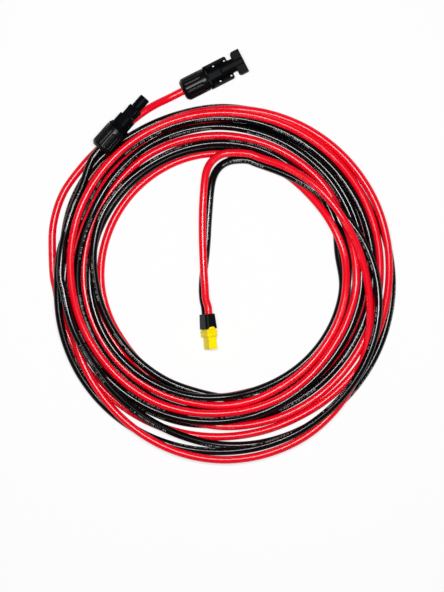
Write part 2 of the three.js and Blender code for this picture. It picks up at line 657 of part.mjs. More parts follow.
function noseSpring() {
  const end = SOCKET_TIP - SPRING_GAP * 2;
  const inner = SOCKET_RADIUS + SPRING_GAP;
  return ring(end - SPRING_LENGTH, end, inner, inner + SPRING_THICKNESS, 14);
}

function noseRing() {
  const tube = O_RING_THICKNESS / 2;
  const inner = NOSE_ROOT_DIAMETER / 2 - O_RING_GROOVE_DEPTH + SEAT_GAP;
  const geometry = new THREE.TorusGeometry(inner + tube, tube, 6, 20);
  return solidOf(geometry.rotateY(Math.PI / 2).translate(NOSE_START + O_RING_PLACE, 0, 0));
}

function addNoseCoupler(group) {
  addCouplerRear(group, 'nose', nut(NOSE_NUT_LENGTH, flutes(NOSE_NUT_LENGTH, 16)));
  addPiece(group, 'nose_housing', geometryOf(noseHousing()), blackNylon);
  addPiece(group, 'nose_socket', geometryOf(noseSocket()), tinPlate);
  addPiece(group, 'nose_spring', geometryOf(noseSpring()), springSteel);
  addPiece(group, 'nose_ring', geometryOf(noseRing()), blackRubber);
  addPiece(group, 'nose_arm_upper', geometryOf(latchArm()), blackNylon);
  addPiece(group, 'nose_arm_lower', geometryOf(latchArm().rotate([180, 0, 0])), blackNylon);
}

// Yellow plug
const POLES = [['plus', PLUG_POLE_SPACING / 2], ['minus', -PLUG_POLE_SPACING / 2]];
const PLUG_BLOCK_START = PLUG_CAP_LENGTH + SEAT_GAP;
const PLUG_NOSE_START = PLUG_BLOCK_START + PLUG_BLOCK_LENGTH;
const PLUG_LENGTH = PLUG_NOSE_START + PLUG_NOSE_LENGTH;
const PLUG_STUB_START = PLUG_BLOCK_START - PLUG_STUB_LENGTH;
const PLUG_CUP_BORE = CONDUCTOR_DIAMETER / 2 + SEAT_GAP;
const PLUG_SOCKET_RADIUS = PLUG_CUP_BORE + PLUG_SOCKET_WALL;
const PLUG_CUP_START = PLUG_BLOCK_START - PLUG_CUP_REACH;
const PLUG_SLEEVE_INNER = PLUG_SOCKET_RADIUS + SEAT_GAP;
const PLUG_CAVITY_HEIGHT = PLUG_CAP_REAR_HEIGHT - PLUG_CAP_WALL * 2;
const PLUG_CAVITY_WIDTH = PLUG_CAP_REAR_WIDTH - PLUG_CAP_WALL * 2;

function plugHousing() {
  const ribs = PLUG_RIB_SHARES.map((share) => {
    const from = PLUG_BLOCK_START + PLUG_BLOCK_LENGTH * share - PLUG_RIB_LENGTH / 2;
    return roundedBlock(from, from + PLUG_RIB_LENGTH, PLUG_BLOCK_WIDTH + PLUG_RIB_HEIGHT * 2,
      PLUG_BLOCK_HEIGHT + PLUG_RIB_HEIGHT * 2, PLUG_BLOCK_ROUND);
  });
  const stub = block(PLUG_STUB_START, PLUG_BLOCK_START + OVERRUN,
    PLUG_CAVITY_WIDTH - SEAT_GAP * 2, PLUG_CAVITY_HEIGHT - SEAT_GAP * 2);
  const rear = roundedBlock(PLUG_BLOCK_START, PLUG_NOSE_START, PLUG_BLOCK_WIDTH, PLUG_BLOCK_HEIGHT,
    PLUG_BLOCK_ROUND);
  const whole = [stub, ...ribs, plugNose()].reduce((sum, piece) => sum.add(piece), rear);
  return POLES.reduce((left, [, y]) => {
    const bore = rod(PLUG_STUB_START - OVERRUN, PLUG_LENGTH + OVERRUN, PLUG_SOCKET_RADIUS + SEAT_GAP, 14);
    return left.subtract(bore.translate([0, y, 0]));
  }, whole);
}

// The nose has its two corners cut off at the negative end
function plugNose() {
  const [w, h] = [PLUG_NOSE_WIDTH / 2, PLUG_NOSE_HEIGHT / 2];
  const shape = new THREE.Shape();
  shape.moveTo(w, -h);
  shape.lineTo(w, h);
  shape.lineTo(PLUG_NOSE_CHAMFER - w, h);
  shape.lineTo(-w, h - PLUG_NOSE_CHAMFER);
  shape.lineTo(-w, PLUG_NOSE_CHAMFER - h);
  shape.lineTo(PLUG_NOSE_CHAMFER - w, -h);
  return prism(shape, PLUG_NOSE_START - OVERRUN, PLUG_LENGTH);
}

// The cap widens towards its front edge, which is arched on the two narrow sides
function plugCap() {
  const rear = roundedOutline(PLUG_CAP_REAR_WIDTH, PLUG_CAP_REAR_HEIGHT, PLUG_CAP_ROUND);
  const geometry = new THREE.ExtrudeGeometry(rear, { depth: 1, bevelEnabled: false, curveSegments: 3 });
  const place = geometry.attributes.position;
  for (let i = 0; i < place.count; i++) {
    const front = place.getZ(i) > 0;
    const wide = front ? PLUG_CAP_WIDTH / PLUG_CAP_REAR_WIDTH : 1;
    const high = front ? PLUG_CAP_HEIGHT / PLUG_CAP_REAR_HEIGHT : 1;
    place.setXYZ(i, place.getX(i) * wide, place.getY(i) * high, front ? PLUG_CAP_LENGTH : 0);
  }
  const outside = solidOf(geometry.applyMatrix4(ALONG_X));
  const cavity = block(PLUG_CAP_REAR_WALL, PLUG_CAP_LENGTH + OVERRUN, PLUG_CAVITY_WIDTH, PLUG_CAVITY_HEIGHT);
  const archHalf = PLUG_CAP_HEIGHT / 2 * PLUG_CAP_ARCH_SHARE;
  const archTop = PLUG_CAP_LENGTH - PLUG_CAP_ARCH_DEPTH;
  const arch = new THREE.Shape();
  arch.moveTo(PLUG_CAP_LENGTH + OVERRUN, -archHalf);
  arch.bezierCurveTo(archTop, -archHalf, archTop, archHalf, PLUG_CAP_LENGTH + OVERRUN, archHalf);
  const arches = standing(arch, PLUG_CAP_WIDTH + OVERRUN * 2);
  const hole = rod(-OVERRUN, PLUG_CAP_REAR_WALL + OVERRUN, CABLE_DIAMETER / 2 + SEAT_GAP, 14);
  const holes = POLES.map(([, y]) => hole.translate([0, y, 0]));
  return [cavity, arches, ...holes].reduce((left, piece) => left.subtract(piece), outside);
}

function plugSocket(y) {
  const front = PLUG_LENGTH - PLUG_SOCKET_SETBACK;
  return turned([
    [PLUG_CUP_START + PLUG_CUP_LENGTH, 0],
    [PLUG_CUP_START + PLUG_CUP_LENGTH, PLUG_CUP_BORE],
    [PLUG_CUP_START, PLUG_CUP_BORE],
    [PLUG_CUP_START, PLUG_SOCKET_RADIUS],
    [front, PLUG_SOCKET_RADIUS],
    [front, PLUG_CUP_BORE],
    [front - PLUG_PIN_DEPTH, PLUG_CUP_BORE],
    [front - PLUG_PIN_DEPTH, 0],
  ], 14).translate([0, y, 0]);
}

function addPlug(group) {
  addPiece(group, 'plug_housing', geometryOf(plugHousing()), yellowNylon);
  addPiece(group, 'plug_cap', geometryOf(plugCap()), blackNylon);
  const wireStart = PLUG_CABLE_ENTRY + SEAT_GAP;
  for (const [pole, y] of POLES) {
    const wire = rod(wireStart, PLUG_CUP_START + PLUG_CUP_LENGTH - SEAT_GAP, CONDUCTOR_DIAMETER / 2, 10);
    const sleeve = ring(wireStart, PLUG_STUB_START - SEAT_GAP,
      PLUG_SLEEVE_INNER, PLUG_SLEEVE_INNER + PLUG_SLEEVE_WALL, 14);
    addPiece(group, `plug_socket_${pole}`, geometryOf(plugSocket(y)), goldPlate);
    addPiece(group, `plug_conductor_${pole}`, geometryOf(wire.translate([0, y, 0])), tinnedCopper);
    addPiece(group, `plug_sleeve_${pole}`, geometryOf(sleeve.translate([0, y, 0])), blackRubber);
  }
}

// The coil: the strands are stacked in their laying order and then settle under their own weight
const SPACING = CABLE_DIAMETER + LAY_GAP;
const FLOOR_HEIGHT = CABLE_DIAMETER * FLOOR_SHARE;
const SAMPLE_COUNT = (STATION_COUNT - 1) * SAMPLES_PER_STEP + 1;
const SAMPLES_PER_TURN = STATIONS_PER_TURN * SAMPLES_PER_STEP;

// A smooth curve through a table's values, read between them
function smoothAt(table, place) {
  const last = table.length - 1;
  const value = (i) => {
    if (i < 0) return 2 * table[0] - table[1];
    return i > last ? 2 * table[last] - table[last - 1] : table[i];
  };
  const k = Math.floor(place);
  const t = place - k;
  const [a, b, c, d] = [value(k - 1), value(k), value(k + 1), value(k + 2)];
  return b + t * ((c - a) / 2 + t * (a - 2.5 * b + 2 * c - d / 2 + t * (1.5 * (b - c) + (d - a) / 2)));
}

function linearAt(table, place) {
  const k = Math.min(Math.floor(place), table.length - 2);
  return table[k] + (place - k) * (table[k + 1] - table[k]);
}

function strand(radiusShares, layingOrder) {
  const radii = radiusShares.flat();
  const orders = layingOrder.flat();
  const perStation = RADII_PER_TURN / STATIONS_PER_TURN;
  const goal = Array.from({ length: STATION_COUNT },
    (_, s) => COIL_RADIUS * smoothAt(radii, (s + SKIPPED_STATION_COUNT) * perStation));
  const order = Array.from({ length: SAMPLE_COUNT }, (_, i) =>
    linearAt(orders, (i / SAMPLES_PER_STEP + SKIPPED_STATION_COUNT) * ORDERS_PER_TURN / STATIONS_PER_TURN));
  return { goal, order, radius: [...goal], height: goal.map(() => FLOOR_HEIGHT) };
}

const sampled = (values, i) => linearAt(values, i / SAMPLES_PER_STEP);

// Every two stretches of strand that pass the same angle, as a first and a second sample's offset
function passes(strands) {
  const [red, black] = strands;
  const turns = Math.ceil(STATION_COUNT / STATIONS_PER_TURN) - 1;
  const list = [];
  for (const [first, second] of [[red, red], [black, black], [red, black]]) {
    for (let lag = first === second ? 1 : -turns; lag <= turns; lag++) {
      list.push({ first, second, shift: lag * SAMPLES_PER_TURN });
    }
  }
  return list;
}

const inRange = (i) => i >= 0 && i < SAMPLE_COUNT;

// Contacts as they are laid: each run of samples where two strands share a place has one on top
function layingContacts(passList) {
  const contacts = [];
  for (const { first, second, shift } of passList) {
    let run = [];
    for (let i = 0; i <= SAMPLE_COUNT; i++) {
      const j = i + shift;
      const both = inRange(i) && inRange(j);
      const apart = both ? Math.abs(sampled(first.radius, i) - sampled(second.radius, j)) : SPACING;
      if (apart < SPACING) {
        run.push({ i, j, lift: Math.sqrt(SPACING ** 2 - apart ** 2) });
        continue;
      }
      const lead = run.reduce((sum, c) => sum + first.order[c.i] - second.order[c.j], 0);
      for (const c of run) {
        contacts.push(lead >= 0
          ? { top: first, above: c.i, under: second, below: c.j, lift: c.lift }
          : { top: second, above: c.j, under: first, below: c.i, lift: c.lift });
      }
      run = [];
    }
  }
  return contacts;
}

function stackStrands(contacts) {
  for (let round = 0; round < STACK_ROUNDS; round++) {
    let change = 0;
    for (const { top, above, under, below, lift } of contacts) {
      const need = sampled(under.height, below) + lift;
      const station = Math.floor(above / SAMPLES_PER_STEP);
      const reached = above % SAMPLES_PER_STEP ? [station, station + 1] : [station];
      for (const s of reached) {
        change = Math.max(change, need - top.height[s]);
        top.height[s] = Math.max(top.height[s], need);
      }
    }
    if (change < CLOSE_ENOUGH_SHARE * CABLE_DIAMETER) return;
  }
}

function relax({ goal, radius, height }, drop, pull, stiffness) {
  const oldHeight = [...height];
  const offset = radius.map((value, s) => value - goal[s]);
  for (let s = 0; s < STATION_COUNT; s++) {
    height[s] -= drop;
    radius[s] -= pull * offset[s];
    if (s > 0 && s < STATION_COUNT - 1) {
      height[s] += stiffness * ((oldHeight[s - 1] + oldHeight[s + 1]) / 2 - oldHeight[s]);
      radius[s] += stiffness * ((offset[s - 1] + offset[s + 1]) / 2 - offset[s]);
    }
  }
}

// Pushes two strands apart wherever they are closer than the spacing
function pushApart({ first, second, shift }) {
  const pushes = [first, second].map((wire, k) => ({
    wire,
    sign: k ? -1 : 1,
    offset: k ? shift : 0,
    out: new Float64Array(STATION_COUNT),
    up: new Float64Array(STATION_COUNT),
    weight: new Float64Array(STATION_COUNT),
  }));
  for (let i = Math.max(0, -shift); i < SAMPLE_COUNT && i + shift < SAMPLE_COUNT; i++) {
    const dr = sampled(first.radius, i) - sampled(second.radius, i + shift);
    const dz = sampled(first.height, i) - sampled(second.height, i + shift);
    const distance = Math.hypot(dr, dz);
    if (distance >= SPACING) continue;
    const push = (SPACING - distance) / 2 / distance;
    for (const { sign, offset, out, up, weight } of pushes) {
      const place = (i + offset) / SAMPLES_PER_STEP;
      const station = Math.min(Math.floor(place), STATION_COUNT - 2);
      const t = place - station;
      for (const [s, share] of [[station, 1 - t], [station + 1, t]]) {
        out[s] += share * push * dr * sign;
        up[s] += share * push * dz * sign;
        weight[s] += share;
      }
    }
  }
  for (const { wire, out, up, weight } of pushes) {
    for (let s = 0; s < STATION_COUNT; s++) {
      if (weight[s] === 0) continue;
      wire.radius[s] += out[s] / weight[s];
      wire.height[s] += up[s] / weight[s];
    }
  }
}

function settleStep(strands, passList, drop, pull, stiffness) {
  for (const wire of strands) relax(wire, drop, pull, stiffness);
  for (const pass of passList) pushApart(pass);
  for (const wire of strands) wire.height = wire.height.map((z) => Math.max(z, FLOOR_HEIGHT));
}

function settledStrands() {
  const strands = [
    strand(RED_RADIUS_SHARES, RED_LAYING_ORDER),
    strand(BLACK_RADIUS_SHARES, BLACK_LAYING_ORDER),
  ];
  const passList = passes(strands);
  stackStrands(layingContacts(passList));
  for (let round = 0; round < SETTLE_ROUNDS; round++) {
    const late = Math.max(0, round / SETTLE_ROUNDS - FALL_SHARE) / (1 - FALL_SHARE);
    settleStep(strands, passList, DROP_SHARE * CABLE_DIAMETER * (1 - late), PULL_SHARE, STIFFNESS_SHARE);
  }
  for (let round = 0; round < CLOSING_ROUNDS; round++) settleStep(strands, passList, 0, 0, 0);
  return strands;
}

function strandPoint(wire, place) {
  const angle = (place + SKIPPED_STATION_COUNT) / STATIONS_PER_TURN * Math.PI * 2;
  const radius = linearAt(wire.radius, place);
  return new THREE.Vector3(
    COIL_CENTRE_X + radius * Math.sin(angle),
    COIL_CENTRE_Y + radius * Math.cos(angle),
    linearAt(wire.height, place));
}

// Stations of a strand, with each end run on straight and level for one cable diameter
function coilPath(wire) {
  const points = wire.radius.map((_, s) => strandPoint(wire, s));
  const ends = [[points[0], points[1]], [points.at(-1), points.at(-2)]].map(([end, next]) => {
    const away = end.clone().sub(next).setZ(0).setLength(CABLE_DIAMETER);
    return end.clone().add(away);
  });
  return [ends[0], ...points, ends[1]];
}

const UP = new THREE.Vector3(0, 0, 1);

// One unbroken tube along points, each section square to the path and cut flat at the floor
function coilTube(points) {
  const corners = [];
  points.forEach((point, i) => {
    const before = points[Math.max(i - 1, 0)];
    const after = points[Math.min(i + 1, points.length - 1)];
    const along = after.clone().sub(before).normalize();
    const side = UP.clone().cross(along).normalize();
    const over = along.clone().cross(side);
    for (let k = 0; k < TUBE_SIDE_COUNT; k++) {
      const turn = (k / TUBE_SIDE_COUNT) * Math.PI * 2;
      const corner = point.clone()
        .addScaledVector(side, Math.cos(turn) * CABLE_DIAMETER / 2)
        .addScaledVector(over, Math.sin(turn) * CABLE_DIAMETER / 2);
      corners.push(corner.x, corner.y, Math.max(corner.z, 0));
    }
  });
  const faces = [];
  const last = (points.length - 1) * TUBE_SIDE_COUNT;
  for (let start = 0; start < last; start += TUBE_SIDE_COUNT) {
    for (let k = 0; k < TUBE_SIDE_COUNT; k++) {
      const [a, b] = [start + k, start + (k + 1) % TUBE_SIDE_COUNT];
      faces.push(a, b, b + TUBE_SIDE_COUNT, a, b + TUBE_SIDE_COUNT, a + TUBE_SIDE_COUNT);
    }
  }
  for (let k = 1; k < TUBE_SIDE_COUNT - 1; k++) {
    faces.push(0, k + 1, k, last, last + k, last + k + 1);
  }
  const geometry = new THREE.BufferGeometry();
  geometry.setAttribute('position', new THREE.Float32BufferAttribute(corners, 3));
  geometry.setIndex(faces);
  geometry.computeVertexNormals();
  return geometry;
}

// A free stretch: a round tube along a smooth curve through points, cut flat at the floor
function stretchTube(points) {
  const path = new THREE.CatmullRomCurve3(points, false, 'centripetal');
  const section = new THREE.Shape(new THREE.EllipseCurve(0, 0, CABLE_DIAMETER / 2, CABLE_DIAMETER / 2)
    .getPoints(STRETCH_SIDE_COUNT).slice(0, -1));
  const steps = Math.ceil(path.getLength() / (CABLE_DIAMETER * 2));
  const tube = new THREE.ExtrudeGeometry(section, { extrudePath: path, steps });
  const place = tube.attributes.position;
  for (let i = 0; i < place.count; i++) place.setZ(i, Math.max(place.getZ(i), 0));
  return geometryOf(solidOf(tube));
}

const routePoints = (shares) => shares.map(([across, up, height]) => new THREE.Vector3(
  COIL_CENTRE_X + across * COIL_RADIUS, COIL_CENTRE_Y + up * COIL_RADIUS, height * CABLE_DIAMETER));

// Moves a point that lies on the floor outwards until it clears the coil's outermost strand
function besideCoil(point, strands) {
  if (point.z > SPACING / 2) return point;
  const centre = new THREE.Vector3(COIL_CENTRE_X, COIL_CENTRE_Y, point.z);
  const away = point.clone().sub(centre);
  const turn = Math.atan2(away.x, away.y) / (Math.PI * 2);
  const reach = strands.flatMap((wire) => wire.radius.slice(0, -2).filter((_, s) => {
    const apart = (s + SKIPPED_STATION_COUNT) / STATIONS_PER_TURN - turn;
    return Math.abs(apart - Math.round(apart)) * STATIONS_PER_TURN < 1;
  }));
  return centre.add(away.setLength(Math.max(away.length(), Math.max(...reach) + SPACING)));
}

// Shortens a path's end by the seat gap, so that it meets the coil face to face
function meetCoil(end, next) {
  const back = next.clone().sub(end).setLength(SEAT_GAP);
  const straight = next.clone().sub(end).setLength(CABLE_DIAMETER);
  return [end.clone().sub(back), end.clone().sub(straight)];
}

function leastGap(first, second) {
  const points = [first, second].map((wire) => Array.from({ length: SAMPLE_COUNT },
    (_, i) => strandPoint(wire, i / SAMPLES_PER_STEP)));
  let least = Infinity;
  points[0].forEach((point, i) => points[1].forEach((other, j) => {
    const sameStretch = first === second && Math.abs(i - j) < SAMPLES_PER_TURN / 2;
    if (!sameStretch) least = Math.min(least, point.distanceTo(other));
  }));
  return least - CABLE_DIAMETER;
}

// Assembly
const NUT_RADIUS = NUT_DIAMETER / 2;
const NOSE_AXIS_HEIGHT = FLOOR_HEIGHT + CABLE_DIAMETER / 2 + SEAT_GAP + NUT_RADIUS;
const plugRoll = THREE.MathUtils.degToRad(PLUG_ROLL);
const PLUG_AXIS_HEIGHT = (PLUG_CAP_WIDTH / 2 - PLUG_CAP_ROUND) * Math.sin(plugRoll)
  + (PLUG_CAP_HEIGHT / 2 - PLUG_CAP_ROUND) * Math.cos(plugRoll) + PLUG_CAP_ROUND;

const lead = new THREE.Group();
const mouth = placed(MOUTH_PLACE_SHARE, NUT_RADIUS, MOUTH_HEADING, 0);
const nose = placed(NOSE_PLACE_SHARE, NOSE_AXIS_HEIGHT, NOSE_HEADING, NOSE_ROLL);
const plug = placed(PLUG_PLACE_SHARE, PLUG_AXIS_HEIGHT, PLUG_HEADING, PLUG_ROLL);
lead.add(mouth, nose, plug);
addMouthCoupler(mouth);
addNoseCoupler(nose);
addPlug(plug);

const [redStrand, blackStrand] = settledStrands();
const cables = [
  ['red', redJacket, redStrand, RED_PIGTAIL_SHARES, RED_TAIL_SHARES,
    PLUG_POLE_SPACING / 2, mouth, RED_TAIL_BEND],
  ['black', blackJacket, blackStrand, BLACK_PIGTAIL_SHARES, BLACK_TAIL_SHARES,
    -PLUG_POLE_SPACING / 2, nose, BLACK_TAIL_BEND],
];
for (const [colour, jacket, wire, pigtailShares, tailShares, poleY, coupler, bend] of cables) {
  const coil = coilPath(wire);
  const pigtail = [
    pointOn(plug, PLUG_CABLE_ENTRY, poleY),
    pointOn(plug, -CABLE_DIAMETER, poleY),
    ...routePoints(pigtailShares),
    ...meetCoil(coil[0], coil[1]).reverse(),
  ];
  const tail = [
    ...meetCoil(coil.at(-1), coil.at(-2)),
    ...routePoints(tailShares).map((point) => besideCoil(point, [redStrand, blackStrand])),
    pointOn(coupler, -NUT_TRAVEL - CABLE_DIAMETER, bend),
    pointOn(coupler, -NUT_TRAVEL),
    pointOn(coupler, SEAL_END),
  ];
  addPiece(lead, `${colour}_pigtail`, stretchTube(pigtail), jacket);
  addPiece(lead, `${colour}_coil`, coilTube(coil), jacket);
  addPiece(lead, `${colour}_tail`, stretchTube(tail), jacket);
}

console.log('least gap within the red coil, the black coil and between the two:',
  [[redStrand, redStrand], [blackStrand, blackStrand], [redStrand, blackStrand]]
    .map(([first, second]) => leastGap(first, second).toFixed(2)).join(', '));

export default lead;
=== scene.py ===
"""Solar adapter lead: two coiled cables, a yellow two-pole plug and two locking couplers.

Lengths are in millimetres until a mesh is made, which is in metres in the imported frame.
"""

import math

import bmesh
import bpy
import numpy as np
from bpy.props import FloatProperty, FloatVectorProperty, IntProperty, PointerProperty
from mathutils import Matrix, Vector


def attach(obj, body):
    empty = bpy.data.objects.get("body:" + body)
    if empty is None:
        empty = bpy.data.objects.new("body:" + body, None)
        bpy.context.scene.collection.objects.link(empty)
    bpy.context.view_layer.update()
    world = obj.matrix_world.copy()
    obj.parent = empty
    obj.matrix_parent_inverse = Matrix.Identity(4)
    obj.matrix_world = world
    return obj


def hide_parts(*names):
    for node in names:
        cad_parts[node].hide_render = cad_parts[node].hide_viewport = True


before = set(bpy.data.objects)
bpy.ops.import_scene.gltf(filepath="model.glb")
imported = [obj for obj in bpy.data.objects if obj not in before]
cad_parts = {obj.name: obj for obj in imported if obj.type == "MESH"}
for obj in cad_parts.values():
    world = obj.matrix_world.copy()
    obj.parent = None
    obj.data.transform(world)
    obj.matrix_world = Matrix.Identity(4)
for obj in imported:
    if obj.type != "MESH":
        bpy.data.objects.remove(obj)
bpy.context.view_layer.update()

bl_info = {
    "name": "Solar adapter lead",
    "version": (1, 0, 0),
    "blender": (4, 5, 0),
    "location": "View3D > Sidebar > Lead",
    "description": "Coiled solar cables with a two-pole plug and two locking couplers",
    "category": "Add Mesh",
}

MM = 0.001

# Cables
CORE_DIAMETER = 5.8
LAY_GAP = 0.5
COIL_RADIUS = 115
COIL_CENTRE = (0.2, -23.8)
ROUTE_STEP = 2.4
ROUTE_SAMPLES = 16

# Ticks printed on the jackets: places round the cable are in turns, and a quarter is the top
TICK_GROUP = 64
TICK_GROUP_SHARE = 0.55
TICK_PITCH = 1.5
TICK_LENGTH_SHARE = 0.8
TICK_HALF_TURN = 0.035
TICK_TURN = 0.25
TICK_SWAY_TURN = 0.16
TICK_SWAY_PER_RADIAN = 410
RED_TICK_SHARE = 0.12
BLACK_TICK_SHARE = 0.45

# Couplers
SEAT_GAP = 0.3
RUNNING_GAP = 0.4
NUT_DIAMETER = 18.6
NUT_SHELL = 1.3
NUT_SKIN_SHARES = (0.6, 0.2)
NUT_REAR_WALL = 3
NUT_REAR_ROUND = 2.4
NUT_TRAVEL = 6
SEAL_END = 20
MOUTH_NUT_LENGTH = 21.5
NOSE_NUT_LENGTH = 21

# Relief on the mouth coupler's nut: margins from its rear and from its front, each from none to full
FLUTE_EDGE_SHARES = (0.45, 0.95)
FLUTE_REAR = (2.6, 4)
FLUTE_FRONT = (3.4, 5)
FLUTE_ARCH = 0.6

# Relief on the nose coupler's nut, in the same way
PANEL_EDGE_SHARES = (-0.35, 0)
PANEL_REAR = (3.4, 4)
PANEL_FRONT = (4.4, 5)
PANEL_DEPTH = 0.5
RIB_EDGE_SHARES = (-0.2, 0.6)
RIB_PITCH = 1.9
RIB_SLANT = 3.2
RIB_HEIGHT_SHARE = 0.85
VALLEY_EDGE_SHARES = (0.82, 0.97)
VALLEY_REAR = (2.8, 4.4)
VALLEY_FRONT = (3, 3.6)
VALLEY_DEPTH = 0.45
RING_EDGE_SHARES = (0.5, 0.9)
RING_PITCH = 2.2
RING_PLACE = 1.4
RING_REAR = (3.2, 2.8)
RING_FRONT = (0.4, 0.7)
RING_DEPTH = 0.12

# Plug
PLUG_CABLE_ENTRY = 4
PLUG_POLE_SPACING = 7.2
PLUG_CAP_WIDTH = 17.6
PLUG_CAP_HEIGHT = 9.8
PLUG_CAP_ROUND = 2.4
PLUG_LENGTH = 28.3
PLUG_CUP_START = 5.4
PLUG_CUP_LENGTH = 5.5
PLUG_SOCKET_SETBACK = 0.5
PLUG_SOCKET_RADIUS = 2.25
PLUG_SOCKET_BORE = 1.75
PLUG_PIN_DEPTH = 13

# Meshes: how finely each is made, and how far its edges are eased
POLE_RADIUS = 0.001
MERGE_DISTANCE = 0.001
LEAST_EDGE = 0.0001
EDGE_SHARE = 0.45
MOUTH_NUT_EASING = 0.9
MOUTH_NUT_STEP = 0.55
SIDES_PER_FLUTE = 18
NOSE_NUT_EASING = 0.8
NOSE_NUT_STEP = 0.4
NOSE_NUT_SIDES = 264
CONTACT_EASING = 0.12
CONTACT_CORNER_STEPS = 3
CONTACT_SIDES = 40
HOUSING_GRAIN = 0.34
ARM_GRAIN = 0.2
PLUG_GRAIN = 0.26
EVENING_ROUNDS = 2
EVENING_FACTOR = 0.5

# Finishes: noise scales to a metre, tones as shares of the colour, bumps as strength and height in metres
JACKET_SPECULAR = 0.25
JACKET_COAT_ROUGHNESS = 0.16
JACKET_MOTTLE = 45
JACKET_TONES = (0.9, 1.06)
JACKET_ROUGHNESS = 0.17
JACKET_MOTTLE_ROUGHNESS = 0.06
JACKET_COAT = 0.1
TICK_ROUGHNESS = 0.2
DRAG_BUMP = (0.05, 0.00006)
NYLON_GRAIN = 2600
NYLON_CLOUD = 160
NYLON_TONES = (0.8, 1.25)
NYLON_CLOUD_ROUGHNESS = 0.12
NYLON_GRAIN_ROUGHNESS = 0.06
NYLON_ROUGHNESS_OFFSET = -0.08
NYLON_BUMP_HEIGHT = 0.00006
METAL_TARNISH = 420
METAL_GRAIN = 5200
METAL_TONES = (0.82, 1)
METAL_TARNISH_ROUGHNESS = 0.14
METAL_BUMP = (0.15, 0.00003)
RUBBER_BLOOM = 700
RUBBER_TONES = (0.8, 1.6)
RUBBER_ROUGHNESS = 0.72
RUBBER_BLOOM_ROUGHNESS = 0.18
RUBBER_BUMP = (0.2, 0.00008)
WIRE_STRETCH = (900, 260, 260)
WIRE_LINES = 6
WIRE_TONES = (0.6, 1)
WIRE_ROUGHNESS = 0.3
WIRE_LINE_ROUGHNESS = 0.2
WIRE_BUMP = (0.6, 0.0002)
RUBBER_COLOUR = (0.015, 0.015, 0.016)
TIN_COLOUR = (0.62, 0.63, 0.64)
STEEL_COLOUR = (0.5, 0.5, 0.5)
COPPER_COLOUR = (0.72, 0.44, 0.26)
GOLD_ROUGHNESS = 0.18
TIN_ROUGHNESS = 0.24
STEEL_ROUGHNESS = 0.3

# Drag lines on the jackets, to a millimetre along and to a turn around
DRAG_ALONG = 0.02
DRAG_AROUND = 40

# Nylon of each kind: roughness, strength of its grain, and shine
MOUTH_NUT_LOOK = (0.3, 0.25, 0.16)
NOSE_NUT_LOOK = (0.32, 0.3, 0.2)
HOUSING_LOOK = (0.4, 0.3, 0.03)
PLUG_LOOK = (0.36, 0.2, 0.08)
PLUG_CAP_LOOK = (0.46, 0.3, 0.08)
INNER_LOOK = (0.5, 0.3, 0.08)

# Stage, in metres
VIEW_CENTRE = (0.0002, -0.0318)
VIEW_LEVEL = 0.01
LAMP_OFFSET = 0.11
LAMP_HEIGHT = 1.4
FLOOR_REACH = 3
FLOOR_COLOUR = (0.95, 0.95, 0.95)
FLOOR_ROUGHNESS = 0.9
FLOOR_SPECULAR = 0.2
FLOOR_GLOW_SHARE = 0.75
WHITE = (1, 1, 1, 1)

# Where the connectors lie: rear centres as shares of the coil's radius from its centre, turns in degrees
MOUTH_PLACE_SHARE = (-0.273, 1.356)
NOSE_PLACE_SHARE = (-0.848, 0.948)
PLUG_PLACE_SHARE = (-0.104, -0.195)
MOUTH_HEADING = 27
NOSE_HEADING = 48.6
NOSE_ROLL = -12
PLUG_HEADING = -84.6
PLUG_ROLL = 69

# The coil: twelve radii and six laying orders to a turn, clockwise from the top of the plan
STATIONS_PER_TURN = 24
RADII_PER_TURN = 12
ORDERS_PER_TURN = 6
SAMPLES_PER_STEP = 4
FIRST_STATION = 1
LAST_STATION = 162
FLOOR_SHARE = 0.4
DROP_SHARE = 0.026
CLOSE_ENOUGH_SHARE = 0.0002
STACK_ROUNDS = 300
SETTLE_ROUNDS = 600
FALL_SHARE = 0.7
CLOSING_ROUNDS = 200
PULL = 0.12
STIFFNESS = 0.25

RED_RADIUS_SHARES = [
    [0.928, 0.941, 0.963, 1.016, 1.117, 1.194, 1.203, 1.165, 1.107, 1.064, 1.082, 1.127],
    [1.155, 1.141, 1.096, 1.023, 0.950, 0.890, 0.849, 0.838, 0.835, 0.908, 0.950, 0.981],
    [1.002, 0.974, 0.932, 0.883, 0.835, 0.800, 0.786, 0.786, 0.803, 0.845, 0.883, 0.918],
    [0.939, 0.929, 0.904, 0.870, 0.828, 0.816, 0.835, 0.870, 0.913, 0.960, 1.005, 1.047],
    [1.043, 1.009, 0.967, 0.925, 0.877, 0.875, 0.887, 0.929, 0.976, 1.047, 1.120, 1.176],
    [1.197, 1.186, 1.148, 1.094, 1.043, 1.002, 0.970, 0.967, 0.995, 1.057, 1.127, 1.183],
    [1.231, 1.245, 1.219, 1.162, 1.110, 1.057, 1.052, 1.078, 1.114, 1.163, 1.235, 1.294],
]
BLACK_RADIUS_SHARES = [
    [0.894, 0.901, 0.974, 1.076, 1.122, 1.141, 1.145, 1.164, 1.160, 1.139, 1.113, 1.123],
    [1.137, 1.117, 1.054, 0.995, 0.939, 0.863, 0.776, 0.765, 0.801, 0.877, 0.966, 0.982],
    [0.994, 0.974, 0.932, 0.863, 0.803, 0.771, 0.774, 0.817, 0.873, 0.918, 0.946, 0.967],
    [0.974, 0.960, 0.929, 0.897, 0.859, 0.844, 0.861, 0.901, 0.950, 1.005, 1.047, 1.106],
    [1.111, 1.064, 1.002, 0.969, 0.920, 0.909, 0.941, 0.990, 1.046, 1.086, 1.112, 1.150],
    [1.176, 1.155, 1.113, 1.047, 0.981, 0.939, 0.960, 0.995, 1.030, 1.099, 1.162, 1.203],
    [1.242, 1.221, 1.193, 1.184, 1.170, 1.148, 1.119, 1.055, 1.043, 1.104, 1.150, 1.259],
]

